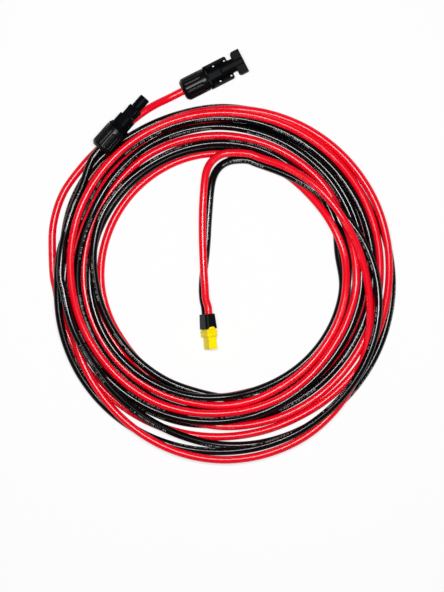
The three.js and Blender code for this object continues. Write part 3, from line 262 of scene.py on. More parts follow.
# Which strand lies over which: the higher number is on top
RED_LAYING_ORDER = [
    [14, 15, 14, 16, 9.5, 8],
    [11, 8.5, 2, 2, 3.5, 5],
    [6, 4, 6, 2.5, 4, 7],
    [7, 6, 8, 9, 11, 10],
    [9, 7, 9, 11, 14, 16],
    [16, 12, 12, 5, 3, 6],
    [6, 6, 4, 6, 4, 4],
]
BLACK_LAYING_ORDER = [
    [13, 14, 15, 15, 9, 7],
    [10.5, 8, 1, 3, 8, 9.5],
    [7.5, 5.8, 7, 8, 10, 6],
    [6.5, 5, 7.5, 7, 6, 9],
    [12, 9, 10, 12, 13, 14],
    [11.5, 9, 11, 4, 2, 5],
    [5, 5, 5, 5, 14.5, 15],
]

# Free stretches: across and up the plan as shares of the coil's radius, then height in cable diameters
RED_PIGTAIL_SHARES = [
    [-0.112, -0.097, 1.97],
    [-0.119, -0.007, 1.72],
    [-0.126, 0.097, 1.59],
    [-0.131, 0.209, 1.52],
    [-0.135, 0.320, 1.50],
    [-0.136, 0.431, 1.50],
    [-0.134, 0.543, 1.52],
    [-0.128, 0.647, 1.56],
    [-0.121, 0.730, 1.66],
    [-0.107, 0.803, 1.84],
    [-0.076, 0.861, 2.08],
    [-0.028, 0.901, 2.36],
    [0.031, 0.922, 2.50],
]
BLACK_PIGTAIL_SHARES = [
    [-0.131, -0.097, 0.79],
    [-0.136, -0.010, 0.55],
    [-0.129, 0.090, 0.41],
    [-0.116, 0.195, 0.40],
    [-0.105, 0.320, 0.40],
    [-0.099, 0.431, 0.40],
    [-0.091, 0.543, 0.40],
    [-0.082, 0.647, 0.43],
    [-0.072, 0.717, 0.52],
    [-0.056, 0.772, 0.72],
    [-0.024, 0.822, 1.05],
    [0.022, 0.857, 1.38],
    [0.077, 0.874, 1.60],
]
RED_TAIL_SHARES = [
    [-1.171, 0.207, 0.40],
    [-1.154, 0.420, 0.40],
    [-1.084, 0.626, 0.40],
    [-0.973, 0.816, 0.40],
    [-0.861, 0.955, 0.40],
    [-0.737, 1.061, 0.40],
    [-0.612, 1.165, 0.40],
    [-0.557, 1.207, 0.50],
    [-0.501, 1.243, 0.76],
    [-0.445, 1.273, 1.14],
]
BLACK_TAIL_SHARES = [
    [-1.109, 0.237, 3.50],
    [-1.081, 0.390, 3.15],
    [-1.035, 0.543, 3.05],
    [-0.972, 0.689, 2.80],
]

# How far each tail's last bend lies beside its coupler's axis
RED_TAIL_BEND = 0
BLACK_TAIL_BEND = -1

SPACING = CORE_DIAMETER + LAY_GAP
FLOOR_HEIGHT = CORE_DIAMETER * FLOOR_SHARE
STATION_COUNT = LAST_STATION - FIRST_STATION + 1
SAMPLE_COUNT = (STATION_COUNT - 1) * SAMPLES_PER_STEP + 1
SAMPLES_PER_TURN = STATIONS_PER_TURN * SAMPLES_PER_STEP
NUT_RADIUS = NUT_DIAMETER / 2
CABLE_PASSAGE = CORE_DIAMETER / 2 + RUNNING_GAP
NOSE_AXIS_HEIGHT = FLOOR_HEIGHT + CORE_DIAMETER / 2 + SEAT_GAP + NUT_RADIUS


def plug_axis_height():
    """The height at which the rolled cap just touches the floor with its lower rounded corner."""
    roll = math.radians(PLUG_ROLL)
    half_width = PLUG_CAP_WIDTH / 2 - PLUG_CAP_ROUND
    half_height = PLUG_CAP_HEIGHT / 2 - PLUG_CAP_ROUND
    return half_width * math.sin(roll) + half_height * math.cos(roll) + PLUG_CAP_ROUND


def placed(share, height, heading, roll):
    """Where a connector lies, in millimetres: a turn about the vertical, then a roll about its own axis."""
    x = COIL_CENTRE[0] + share[0] * COIL_RADIUS
    y = COIL_CENTRE[1] + share[1] * COIL_RADIUS
    turn = Matrix.Rotation(math.radians(heading), 4, "Z") @ Matrix.Rotation(math.radians(roll), 4, "X")
    return Matrix.Translation((x, y, height)) @ turn


MOUTH_PLACE = placed(MOUTH_PLACE_SHARE, NUT_RADIUS, MOUTH_HEADING, 0)
NOSE_PLACE = placed(NOSE_PLACE_SHARE, NOSE_AXIS_HEIGHT, NOSE_HEADING, NOSE_ROLL)
PLUG_PLACE = placed(PLUG_PLACE_SHARE, plug_axis_height(), PLUG_HEADING, PLUG_ROLL)


def carried(points, place):
    """Each point turned and moved by a place, both in millimetres."""
    matrix = np.array(place)
    return points @ matrix[:3, :3].T + matrix[:3, 3]


# Numbers read along a table
def smooth_at(table, places):
    """The cubic through four neighbouring values, with slopes from the values on either side."""
    ends = [2 * table[0] - table[1]], [2 * table[-1] - table[-2], 3 * table[-1] - 2 * table[-2]]
    padded = np.concatenate([ends[0], table, ends[1]])
    k = np.floor(places).astype(int)
    t = places - k
    a, b, c, d = padded[k], padded[k + 1], padded[k + 2], padded[k + 3]
    return b + t * ((c - a) / 2 + t * (a - 2.5 * b + 2 * c - d / 2 + t * (1.5 * (b - c) + (d - a) / 2)))


def linear_at(table, places):
    """The straight line between two neighbouring values."""
    return np.interp(places, np.arange(len(table)), table)


def sampled(values):
    """Station values read at every sample."""
    return linear_at(values, np.arange(SAMPLE_COUNT) / SAMPLES_PER_STEP)


# The coil: the strands are stacked in their laying order and then settle under their own weight
class Strand:
    """One cable's coil: wished and actual radius and height at each station, and its order at each sample."""

    def __init__(self, radius_shares, laying_order):
        stations = np.arange(STATION_COUNT) + FIRST_STATION
        samples = np.arange(SAMPLE_COUNT) / SAMPLES_PER_STEP + FIRST_STATION
        radii = np.array(radius_shares, float).ravel()
        orders = np.array(laying_order, float).ravel()
        self.goal = COIL_RADIUS * smooth_at(radii, stations * RADII_PER_TURN / STATIONS_PER_TURN)
        self.order = linear_at(orders, samples * ORDERS_PER_TURN / STATIONS_PER_TURN)
        self.radius = self.goal.copy()
        self.height = np.full(STATION_COUNT, FLOOR_HEIGHT)


def strand_passes(red, black):
    """Every two stretches of strand that pass the same angle, with the second one's shift in samples."""
    turns = math.ceil(STATION_COUNT / STATIONS_PER_TURN) - 1
    passes = []
    for first, second in ((red, red), (black, black), (red, black)):
        lags = range(1 if first is second else -turns, turns + 1)
        passes += [(first, second, lag * SAMPLES_PER_TURN) for lag in lags]
    return passes


def shared_samples(shift):
    """The first strand's samples whose partner, so many samples on, is also on its strand."""
    return np.arange(max(0, -shift), min(SAMPLE_COUNT, SAMPLE_COUNT - shift))


def laying_contacts(passes):
    """Runs of samples where two strands share a place: the one with the higher mean order is on top."""
    contacts = []
    for first, second, shift in passes:
        i = shared_samples(shift)
        apart = np.abs(sampled(first.radius)[i] - sampled(second.radius)[i + shift])
        close = np.flatnonzero(apart < SPACING)
        for run in np.split(close, np.flatnonzero(np.diff(close) > 1) + 1):
            lead = np.sum(first.order[i[run]] - second.order[i[run] + shift])
            lift = np.sqrt(SPACING**2 - apart[run] ** 2)
            pair = (first, i[run], second, i[run] + shift, lift)
            contacts.append(pair if lead >= 0 else (pair[2], pair[3], pair[0], pair[1], lift))
    return contacts


def stack_strands(contacts):
    """Lifts each upper strand to lie on the lower one, sample by sample, until nothing moves."""
    listed = [
        (top, above, under, below, lift)
        for top, aboves, under, belows, lifts in contacts
        for above, below, lift in zip(aboves.tolist(), belows.tolist(), lifts.tolist())
    ]
    heights = {id(wire): wire.height.tolist() for wire in {c[0] for c in listed} | {c[2] for c in listed}}
    for _ in range(STACK_ROUNDS):
        change = 0.0
        for top, above, under, below, lift in listed:
            low, high = heights[id(under)], heights[id(top)]
            k, part = divmod(below, SAMPLES_PER_STEP)
            reach = low[min(k + 1, STATION_COUNT - 1)] - low[k]
            need = low[k] + part / SAMPLES_PER_STEP * reach + lift
            station, rest = divmod(above, SAMPLES_PER_STEP)
            for s in (station, station + 1) if rest else (station,):
                if need > high[s]:
                    change = max(change, need - high[s])
                    high[s] = need
        if change < CLOSE_ENOUGH_SHARE * CORE_DIAMETER:
            break
    for wire in {c[0] for c in listed} | {c[2] for c in listed}:
        wire.height = np.array(heights[id(wire)])


def relax(wire, drop, pull, stiffness):
    """Weight lowers a strand, bending stiffness evens it out and a pull returns it to its wished radius."""
    offset = wire.radius - wire.goal
    height, radius = wire.height - drop, wire.radius - pull * offset
    height[1:-1] += stiffness * ((wire.height[:-2] + wire.height[2:]) / 2 - wire.height[1:-1])
    radius[1:-1] += stiffness * ((offset[:-2] + offset[2:]) / 2 - offset[1:-1])
    wire.height, wire.radius = height, radius


def push_apart(first, second, shift):
    """Moves two strands apart, half each, wherever they are closer than the spacing."""
    i = shared_samples(shift)
    across = sampled(first.radius)[i] - sampled(second.radius)[i + shift]
    upward = sampled(first.height)[i] - sampled(second.height)[i + shift]
    distance = np.hypot(across, upward)
    near = distance < SPACING
    if not near.any():
        return
    i, across, upward, distance = i[near], across[near], upward[near], distance[near]
    push = (SPACING - distance) / 2 / distance
    moves = []
    for wire, sign, samples in ((first, 1, i), (second, -1, i + shift)):
        station = np.minimum(samples // SAMPLES_PER_STEP, STATION_COUNT - 2)
        t = samples / SAMPLES_PER_STEP - station
        stations = np.concatenate([station, station + 1])
        weights = np.concatenate([1 - t, t])
        total = np.bincount(stations, weights, STATION_COUNT)
        total = np.where(total > 0, total, 1)
        sums = [
            np.bincount(stations, weights * np.tile(push * way * sign, 2), STATION_COUNT) / total
            for way in (across, upward)
        ]
        moves.append((wire, *sums))
    for wire, out, up in moves:
        wire.radius = wire.radius + out
        wire.height = wire.height + up


def settle_step(strands, passes, drop, pull, stiffness):
    """One round of settling: relax every strand, push all pairs apart, and keep them off the floor."""
    for wire in strands:
        relax(wire, drop, pull, stiffness)
    for first, second, shift in passes:
        push_apart(first, second, shift)
    for wire in strands:
        wire.height = np.maximum(wire.height, FLOOR_HEIGHT)


def settled_strands():
    """The red and the black strand, stacked and settled."""
    red = Strand(RED_RADIUS_SHARES, RED_LAYING_ORDER)
    black = Strand(BLACK_RADIUS_SHARES, BLACK_LAYING_ORDER)
    strands = red, black
    passes = strand_passes(*strands)
    stack_strands(laying_contacts(passes))
    for turn in range(SETTLE_ROUNDS):
        late = max(0, turn / SETTLE_ROUNDS - FALL_SHARE) / (1 - FALL_SHARE)
        settle_step(strands, passes, DROP_SHARE * CORE_DIAMETER * (1 - late), PULL, STIFFNESS)
    for _ in range(CLOSING_ROUNDS):
        settle_step(strands, passes, 0, 0, 0)
    return strands


def coil_points(wire):
    """A strand's stations, clockwise from the top, each end run on level for one diameter."""
    angle = (np.arange(STATION_COUNT) + FIRST_STATION) / STATIONS_PER_TURN * 2 * math.pi
    points = np.stack([
        COIL_CENTRE[0] + wire.radius * np.sin(angle),
        COIL_CENTRE[1] + wire.radius * np.cos(angle),
        wire.height,
    ], axis=1)
    ends = []
    for end, following in ((points[0], points[1]), (points[-1], points[-2])):
        away = (end - following) * [1, 1, 0]
        ends.append(end + away / np.linalg.norm(away) * CORE_DIAMETER)
    return np.concatenate([[ends[0]], points, [ends[1]]])


def route_points(shares):
    """A free stretch's points in millimetres."""
    scale = np.array([COIL_RADIUS, COIL_RADIUS, CORE_DIAMETER])
    return np.array(shares) * scale + [COIL_CENTRE[0], COIL_CENTRE[1], 0]


def beside_coil(point, strands):
    """A point that lies on the floor, moved outwards until it clears the coil's outermost strand."""
    if point[2] > SPACING / 2:
        return point
    away = point[:2] - COIL_CENTRE
    turn = math.atan2(*away) / (2 * math.pi)
    reach = 0.0
    for wire in strands:
        apart = (np.arange(STATION_COUNT) + FIRST_STATION) / STATIONS_PER_TURN - turn
        near = np.abs(apart - np.round(apart)) * STATIONS_PER_TURN < 1
        reach = max(reach, wire.radius[:-2][near[:-2]].max())
    distance = np.linalg.norm(away)
    return np.array([*(COIL_CENTRE + away / distance * max(distance, reach + SPACING)), point[2]])


def on_axis(place, along, across=0):
    """A point of a connector, by its distance along and across the connector's own axis."""
    return np.array(place @ Vector((along, across, 0)))


def cable_route(strands, own, pigtail_shares, tail_shares, pole_y, coupler, bend):
    """A cable's whole route through its plug, pigtail, coil, tail and coupler."""
    return np.array([
        on_axis(PLUG_PLACE, PLUG_CABLE_ENTRY, pole_y),
        on_axis(PLUG_PLACE, -CORE_DIAMETER, pole_y),
        *route_points(pigtail_shares),
        *coil_points(strands[own]),
        *(beside_coil(point, strands) for point in route_points(tail_shares)),
        on_axis(coupler, -NUT_TRAVEL - CORE_DIAMETER, bend),
        on_axis(coupler, -NUT_TRAVEL),
        on_axis(coupler, SEAL_END),
    ])


def smooth_route(points, step):
    """A centripetal Catmull-Rom curve through points, in even steps.

    Between two points the curve is a blend of blends of straight lines, with knots at the running sum of
    the square roots of the distances.
    """
    ends = [2 * points[0] - points[1]], [2 * points[-1] - points[-2]]
    p = np.concatenate([ends[0], points, ends[1]])
    knots = np.concatenate([[0], np.cumsum(np.sqrt(np.linalg.norm(np.diff(p, axis=0), axis=1)))])
    t = np.linspace(knots[1:-2], knots[2:-1], ROUTE_SAMPLES, endpoint=False).T[..., None]
    k = [knots[i:len(knots) - 3 + i, None, None] for i in range(4)]
    q = [p[i:len(p) - 3 + i, None, :] for i in range(4)]

    def mix(a, b, low, high):
        return (a * (high - t) + b * (t - low)) / (high - low)

    first, middle, last = (mix(q[i], q[i + 1], k[i], k[i + 1]) for i in range(3))
    early, late = mix(first, middle, k[0], k[2]), mix(middle, last, k[1], k[3])
    fine = np.concatenate([mix(early, late, k[1], k[2]).reshape(-1, 3), points[-1:]])
    length = np.concatenate([[0], np.cumsum(np.linalg.norm(np.diff(fine, axis=0), axis=1))])
    even = np.linspace(0, length[-1], round(length[-1] / step) + 1)
    return np.stack([np.interp(even, length, fine[:, axis]) for axis in range(3)], axis=1), even


# Meshes
def grid_faces(rows, columns, rows_close=False, columns_close=True):
    """Quads that join each point of a grid to the next one both ways."""
    row = np.arange(rows if rows_close else rows - 1)[:, None]
    column = np.arange(columns if columns_close else columns - 1)[None, :]
    next_row, next_column = (row + 1) % rows, (column + 1) % columns
    corners = [
        row * columns + column,
        next_row * columns + column,
        next_row * columns + next_column,
        row * columns + next_column,
    ]
    return np.stack(np.broadcast_arrays(*corners), axis=-1).reshape(-1, 4)


def shown(name, mesh, body, finish, nodes):
    """Puts a mesh in the scene as a piece that rides on a body and stands for CAD nodes."""
    piece = bpy.data.objects.new(name, mesh)
    bpy.context.scene.collection.objects.link(piece)
    mesh.materials.clear()
    mesh.materials.append(finish)
    mesh.shade_smooth()
    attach(piece, body)
    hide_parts(*nodes)
    return piece


def mesh_of(name, points, faces):
    """A mesh in metres from points in millimetres, its doubles merged and its faces turned outwards."""
    mesh = bpy.data.meshes.new(name)
    mesh.from_pydata((points * MM).tolist(), [], [list(map(int, face)) for face in faces])
    shell = bmesh.new()
    shell.from_mesh(mesh)
    bmesh.ops.remove_doubles(shell, verts=shell.verts, dist=MERGE_DISTANCE * MM)
    bmesh.ops.dissolve_degenerate(shell, edges=shell.edges, dist=LEAST_EDGE * MM)
    bmesh.ops.recalc_face_normals(shell, faces=shell.faces)
    shell.to_mesh(mesh)
    shell.free()
    mesh.validate()
    return mesh


def cable_mesh(name, centres, lengths, diameter, sides):
    """A round section carried along a route, closed at both ends and cut flat at the floor.

    A point of the surface is the route's point plus the radius times (cos v) sideways and (sin v) upwards,
    square to the route.
    """
    along = np.gradient(centres, axis=0)
    along /= np.linalg.norm(along, axis=1, keepdims=True)
    side = np.cross([0, 0, 1], along)
    side /= np.linalg.norm(side, axis=1, keepdims=True)
    over = np.cross(along, side)
    turn = np.arange(sides) / sides * 2 * math.pi
    ring = np.cos(turn)[None, :, None] * side[:, None] + np.sin(turn)[None, :, None] * over[:, None]
    points = (centres[:, None] + ring * diameter / 2).reshape(-1, 3)
    points[:, 2] = np.maximum(points[:, 2], 0)
    faces = grid_faces(len(centres), sides)[:, ::-1]
    last = (len(centres) - 1) * sides
    caps = [list(range(sides)), list(range(last + sides - 1, last - 1, -1))]
    mesh = bpy.data.meshes.new(name)
    mesh.from_pydata((points * MM).tolist(), [], faces.tolist() + caps)
    lie = mesh.attributes.new("lie", "FLOAT_VECTOR", "POINT")
    values = np.stack([
        np.repeat(lengths, sides),
        np.tile(turn / (2 * math.pi), len(centres)),
        np.zeros(len(points)),
    ], axis=1)
    lie.data.foreach_set("vector", values.astype(np.float32).ravel())
    mesh.validate()
    return mesh


def eased(corners, easing, steps=4):
    """A closed outline with each corner rounded by a quadratic curve that starts an easing before it."""
    before, after = np.roll(corners, 1, axis=0), np.roll(corners, -1, axis=0)
    entry = corners + shortened(before - corners, easing)
    leave = corners + shortened(after - corners, easing)
    t = np.linspace(0, 1, steps)[None, :, None]
    curve = entry[:, None] * (1 - t) ** 2 + corners[:, None] * 2 * t * (1 - t) + leave[:, None] * t**2
    return curve.reshape(-1, 2)


def shortened(edges, easing):
    """Each edge cut to the easing, or to under half of itself."""
    length = np.linalg.norm(edges, axis=1, keepdims=True)
    return edges / length * np.minimum(easing, length * EDGE_SHARE)


def divided(outline, step):
    """A closed outline with its long edges cut into steps."""
    after = np.roll(outline, -1, axis=0)
    pieces = []
    for a, b in zip(outline, after):
        count = max(1, math.ceil(np.linalg.norm(b - a) / step))
        pieces.append(a + (b - a) * np.arange(count)[:, None] / count)
    return np.concatenate(pieces)


def turned(outline, sides, relief=None):
    """A closed outline of distance along and radius, carried round the X axis, with an optional relief.

    The point at outline place s and angle v is (along, radius cos v, radius sin v); relief(along, radius, v)
    is added to the radius.
    """
    angle = np.arange(sides) / sides * 2 * math.pi
    along = np.broadcast_to(outline[:, :1], (len(outline), sides))
    radius = np.broadcast_to(outline[:, 1:], (len(outline), sides))
    if relief is not None:
        radius = radius + relief(along, radius, angle[None, :])
    points = np.stack([along, radius * np.cos(angle), radius * np.sin(angle)], axis=-1)
    return points.reshape(-1, 3), grid_faces(len(outline), sides, rows_close=True)


def rise(low, high, values):
    """Zero below low, one above high, and a smooth step between."""
    t = np.clip((values - low) / (high - low), 0, 1)
    return t * t * (3 - 2 * t)


def lengthwise(along, length, rear, front):
    """One along a nut but for its margins, where it falls smoothly to zero at each end."""
    return rise(*rear, along) * (1 - rise(length - front[1], length - front[0], along))


def moulded(name, node, place, grain):
    """A CAD node's solid as a moulding with eased edges.

    The solid is measured on a fine grid along its own axes, and the surface found is evened out.
    """
    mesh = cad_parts[node].data.copy()
    to_local = (Matrix.Scale(MM, 4) @ place @ Matrix.Scale(1 / MM, 4)).inverted()
    mesh.transform(to_local)
    blank = bpy.data.objects.new(name + "_blank", mesh)
    bpy.context.scene.collection.objects.link(blank)
    weld = blank.modifiers.new("weld", "WELD")
    weld.merge_threshold = MERGE_DISTANCE * MM
    grid = blank.modifiers.new("grid", "REMESH")
    grid.mode = "VOXEL"
    grid.voxel_size = grain * MM
    even = blank.modifiers.new("even", "SMOOTH")
    even.factor = EVENING_FACTOR
    even.iterations = EVENING_ROUNDS
    bpy.context.view_layer.update()
    done = bpy.data.meshes.new_from_object(blank.evaluated_get(bpy.context.evaluated_depsgraph_get()))
    done.name = name
    bpy.data.objects.remove(blank)
    done.transform(to_local.inverted())
    return done


# Materials
class Wire:
    """One output of a shader node, whose arithmetic adds Math nodes."""

    def __init__(self, paint, socket):
        self.paint = paint
        self.socket = socket

    def maths(self, operation, *others):
        """The result of an operation on this output and others."""
        return self.paint.node("ShaderNodeMath", {"operation": operation}, dict(enumerate((self, *others))))

    def __add__(self, other):
        return self.maths("ADD", other)

    def __sub__(self, other):
        return self.maths("SUBTRACT", other)

    def __mul__(self, other):
        return self.maths("MULTIPLY", other)

    def __truediv__(self, other):
        return self.maths("DIVIDE", other)


class Finish:
    """A procedural material on Principled BSDF."""

    def __init__(self, name, **constants):
        self.material = bpy.data.materials.new(name)
        self.material.use_nodes = True
        self.tree = self.material.node_tree
        self.shader = self.tree.nodes["Principled BSDF"]
        for socket, value in constants.items():
            self.shader.inputs[socket.replace("_", " ")].default_value = value

    def node(self, kind, settings=None, sockets=None, output=0):
        """Adds a node, sets it, then gives its sockets their values or links."""
        made = self.tree.nodes.new(kind)
        for key, value in (settings or {}).items():
            setattr(made, key, value)
        for key, value in (sockets or {}).items():
            if isinstance(value, Wire):
                self.tree.links.new(value.socket, made.inputs[key])
            else:
                made.inputs[key].default_value = value
        return Wire(self, made.outputs[output])

    def feed(self, socket, wire):
        """Links an output to one of the shader's own inputs."""
        self.tree.links.new(wire.socket, self.shader.inputs[socket])

    def place(self):
        """The place on the piece, in its own coordinates."""
        return self.node("ShaderNodeTexCoord", output="Object")

    def noise(self, vector, scale, detail=3.0):
        """Noise at a scale, with so many layers of detail."""
        sockets = {"Vector": vector, "Scale": scale, "Detail": detail, "Roughness": 0.5}
        return self.node("ShaderNodeTexNoise", sockets=sockets, output="Fac")

    def between(self, share, first, second):
        """A colour between two, by a share."""
        return self.node("ShaderNodeMix", {"data_type": "RGBA"}, {0: share, 6: first, 7: second}, output=2)

    def toned(self, share, colour, tones):
        """A colour that varies between a darker and a lighter tone of itself, by a share."""
        dark, light = ((*(channel * tone for channel in colour[:3]), 1.0) for tone in tones)
        return self.between(share, dark, light)

    def bump(self, height, strength, distance):
        """Raises the surface by a height, as far as light is concerned."""
        sockets = {"Height": height, "Strength": strength, "Distance": distance}
        self.feed("Normal", self.node("ShaderNodeBump", sockets=sockets))


def jacket_finish(name, colour, tick_colour, tick_share):
    """Extruded jacket: fine lengthwise drag lines, a faint mottle and groups of small printed ticks."""
    finish = Finish(name, Specular_IOR_Level=JACKET_SPECULAR, Coat_Roughness=JACKET_COAT_ROUGHNESS)
    lie = finish.node("ShaderNodeAttribute", {"attribute_name": "lie"}, output="Vector")
    along = finish.node("ShaderNodeSeparateXYZ", sockets={0: lie})
    around = Wire(finish, along.socket.node.outputs[1])
    mottle = finish.noise(finish.place(), JACKET_MOTTLE)
    tone = finish.toned(mottle, colour, JACKET_TONES)
    in_group = (along / TICK_GROUP).maths("FRACT").maths("LESS_THAN", TICK_GROUP_SHARE)
    count = (along / TICK_PITCH).maths("FLOOR")
    chance = finish.node("ShaderNodeTexWhiteNoise", {"noise_dimensions": "1D"}, {"W": count}, output="Value")
    in_tick = (along / TICK_PITCH).maths("FRACT").maths("LESS_THAN", chance * TICK_LENGTH_SHARE)
    line = (along / TICK_SWAY_PER_RADIAN).maths("SINE") * TICK_SWAY_TURN + TICK_TURN
    on_line = (around - line).maths("ABSOLUTE").maths("LESS_THAN", TICK_HALF_TURN)
    print_mask = in_group * in_tick * on_line * tick_share
    finish.feed("Base Color", finish.between(print_mask, tone, (*tick_colour[:3], 1.0)))
    spread = finish.node("ShaderNodeCombineXYZ", sockets={0: along * DRAG_ALONG, 1: around * DRAG_AROUND})
    drag = finish.noise(spread, 1.0)
    uneven = mottle * JACKET_MOTTLE_ROUGHNESS + print_mask * TICK_ROUGHNESS
    finish.feed("Roughness", uneven + JACKET_ROUGHNESS)
    finish.feed("Coat Weight", mottle * JACKET_COAT)
    finish.bump(drag, *DRAG_BUMP)
    return finish.material


def nylon_finish(name, colour, roughness, grain, shine):
    """Moulded nylon: a spark-eroded grain and a slow mottle, in tone and in roughness."""
    finish = Finish(name, Specular_IOR_Level=shine)
    place = finish.place()
    fine = finish.noise(place, NYLON_GRAIN, 2.0)
    slow = finish.noise(place, NYLON_CLOUD)
    finish.feed("Base Color", finish.toned(slow, colour, NYLON_TONES))
    uneven = slow * NYLON_CLOUD_ROUGHNESS + fine * NYLON_GRAIN_ROUGHNESS
    finish.feed("Roughness", uneven + (roughness + NYLON_ROUGHNESS_OFFSET))
    finish.bump(fine, grain, NYLON_BUMP_HEIGHT)
    return finish.material


def metal_finish(name, colour, roughness):
    """Plated metal: a very fine grain and a light tarnish."""
    finish = Finish(name, Metallic=1.0)
    place = finish.place()
    tarnish = finish.noise(place, METAL_TARNISH)
    grain = finish.noise(place, METAL_GRAIN, 2.0)
    finish.feed("Base Color", finish.toned(tarnish, colour, METAL_TONES))
    finish.feed("Roughness", tarnish * METAL_TARNISH_ROUGHNESS + roughness)
    finish.bump(grain, *METAL_BUMP)
    return finish.material


def rubber_finish(name, colour):
    """Soft rubber: dull, with a fine bloom."""
    finish = Finish(name)
    bloom = finish.noise(finish.place(), RUBBER_BLOOM)
    finish.feed("Base Color", finish.toned(bloom, colour, RUBBER_TONES))
    finish.feed("Roughness", bloom * RUBBER_BLOOM_ROUGHNESS + RUBBER_ROUGHNESS)
    finish.bump(bloom, *RUBBER_BUMP)
    return finish.material


def strands_finish(name, colour):
    """Fine stranded copper, crimped or soldered: streaks of darker and brighter metal."""
    finish = Finish(name, Metallic=1.0)
    place = finish.node("ShaderNodeMapping", sockets={0: finish.place(), "Scale": WIRE_STRETCH})
    lines = finish.noise(place, WIRE_LINES, 1.0)
    finish.feed("Base Color", finish.toned(lines, colour, WIRE_TONES))
    finish.feed("Roughness", lines * WIRE_LINE_ROUGHNESS + WIRE_ROUGHNESS)
    finish.bump(lines, *WIRE_BUMP)
    return finish.material


# Settings that a user would change
class CableSettings(bpy.types.PropertyGroup):
    diameter: FloatProperty(name="Jacket diameter", description="Over the jacket", default=6.2 * MM,
                            unit="LENGTH")
    sides: IntProperty(name="Sides", description="Faces round the jacket", default=24, min=8)
    red: FloatVectorProperty(name="Red jacket", description="Positive cable", default=(0.93, 0.003, 0.018),
                             subtype="COLOR")
    black: FloatVectorProperty(name="Black jacket", description="Negative cable",
                               default=(0.0012, 0.0012, 0.0016), subtype="COLOR")
    tick: FloatVectorProperty(name="Printed ticks", description="Small marks on the jackets",
                              default=(0.55, 0.55, 0.55), subtype="COLOR")


class CouplerSettings(bpy.types.PropertyGroup):
    nylon: FloatVectorProperty(name="Nylon", description="Coupler mouldings",
                               default=(0.0022, 0.0026, 0.0032), subtype="COLOR")
    flutes: IntProperty(name="Flutes", description="Grip flutes on the mouth coupler's nut", default=12,
                        min=6)
    panels: IntProperty(name="Panels", description="Ribbed panels on the nose coupler's nut", default=6,
                        min=3)
    flute_depth: FloatProperty(name="Flute depth", description="Into the nut", default=0.55 * MM,
                               unit="LENGTH")


class PlugSettings(bpy.types.PropertyGroup):
    yellow: FloatVectorProperty(name="Yellow nylon", description="Plug housing", default=(1.0, 0.8, 0.003),
                                subtype="COLOR")
    gold: FloatVectorProperty(name="Gold plate", description="Plug contacts", default=(0.84, 0.58, 0.2),
                              subtype="COLOR")


class StageSettings(bpy.types.PropertyGroup):
    camera_height: FloatProperty(name="Camera height", description="Above the cables", default=2.4,
                                 unit="LENGTH")
    view_height: FloatProperty(name="View height", description="Height of the picture on the cables",
                               default=0.4736, unit="LENGTH")
    key_power: FloatProperty(name="Key lamp", description="Power of the lamp by the camera", default=18.6,
                             unit="POWER")
    key_length: FloatProperty(name="Key lamp length", description="Across the picture", default=0.5,
                              unit="LENGTH")
    key_width: FloatProperty(name="Key lamp width", description="Up the picture", default=0.1, unit="LENGTH")
    world_light: FloatProperty(name="Room light", description="Strength of the even light", default=0.1)


# Pieces
def cable(name, strands, own, shares, pole_y, coupler, bend, colour, tick_share):
    """One whole cable, which ends in its coupler."""
    settings = bpy.context.scene.lead_cable
    diameter = settings.diameter / MM
    route = cable_route(strands, own, *shares, pole_y, coupler, bend)
    centres, lengths = smooth_route(route, ROUTE_STEP)
    mesh = cable_mesh(name + "_cable", centres, lengths, diameter, settings.sides)
    finish = jacket_finish(name + "_jacket", colour, settings.tick, tick_share)
    nodes = [f"{name}_{part}" for part in ("pigtail", "coil", "tail")]
    piece = shown(name + "_cable", mesh, "lead", finish, nodes)
    on_axis(PLUG_PLACE, 0, pole_y) * MM
    float(lengths[-1] * MM)
    centres * MM


class LEAD_OT_cables(bpy.types.Operator):
    """Makes the red and the black cable"""

    bl_idname = "lead.cables"
    bl_label = "Cables"

    def execute(self, context):
        settings = context.scene.lead_cable
        strands = settled_strands()
        half = PLUG_POLE_SPACING / 2
        cable("red", strands, 0, (RED_PIGTAIL_SHARES, RED_TAIL_SHARES), half, MOUTH_PLACE, RED_TAIL_BEND,
              settings.red, RED_TICK_SHARE)
        cable("black", strands, 1, (BLACK_PIGTAIL_SHARES, BLACK_TAIL_SHARES), -half, NOSE_PLACE,
              BLACK_TAIL_BEND, settings.black, BLACK_TICK_SHARE)
        return {"FINISHED"}


def nut_outline(length):
    """The nut's closed outline: rear face, outside, front lip, cavity, rear wall and cable passage."""
    cavity = NUT_RADIUS - NUT_SHELL
    return np.array([
        [0, CABLE_PASSAGE],
        [0, NUT_RADIUS - NUT_REAR_ROUND],
        [NUT_REAR_ROUND, NUT_RADIUS],
        [length, NUT_RADIUS],
        [length, cavity],
        [NUT_REAR_WALL, cavity],
        [NUT_REAR_WALL, CABLE_PASSAGE],
    ])


def outside_of(radius):
    """One on the nut's outer skin and zero on its inner faces."""
    inner, outer = (NUT_RADIUS - NUT_SHELL * share for share in NUT_SKIN_SHARES)
    return rise(inner, outer, radius)


def cap_nut(name, body, place, outline, sides, relief, look):
    """A coupler's cap nut: its outline carried round the coupler's axis, with a relief on the outside."""
    points, faces = turned(outline, sides, relief)
    mesh = mesh_of(name + "_shell", carried(points, place), faces)
    finish = nylon_finish(name + "_nylon", bpy.context.scene.lead_coupler.nylon, *look)
    piece = shown(name + "_shell", mesh, body, finish, [name])


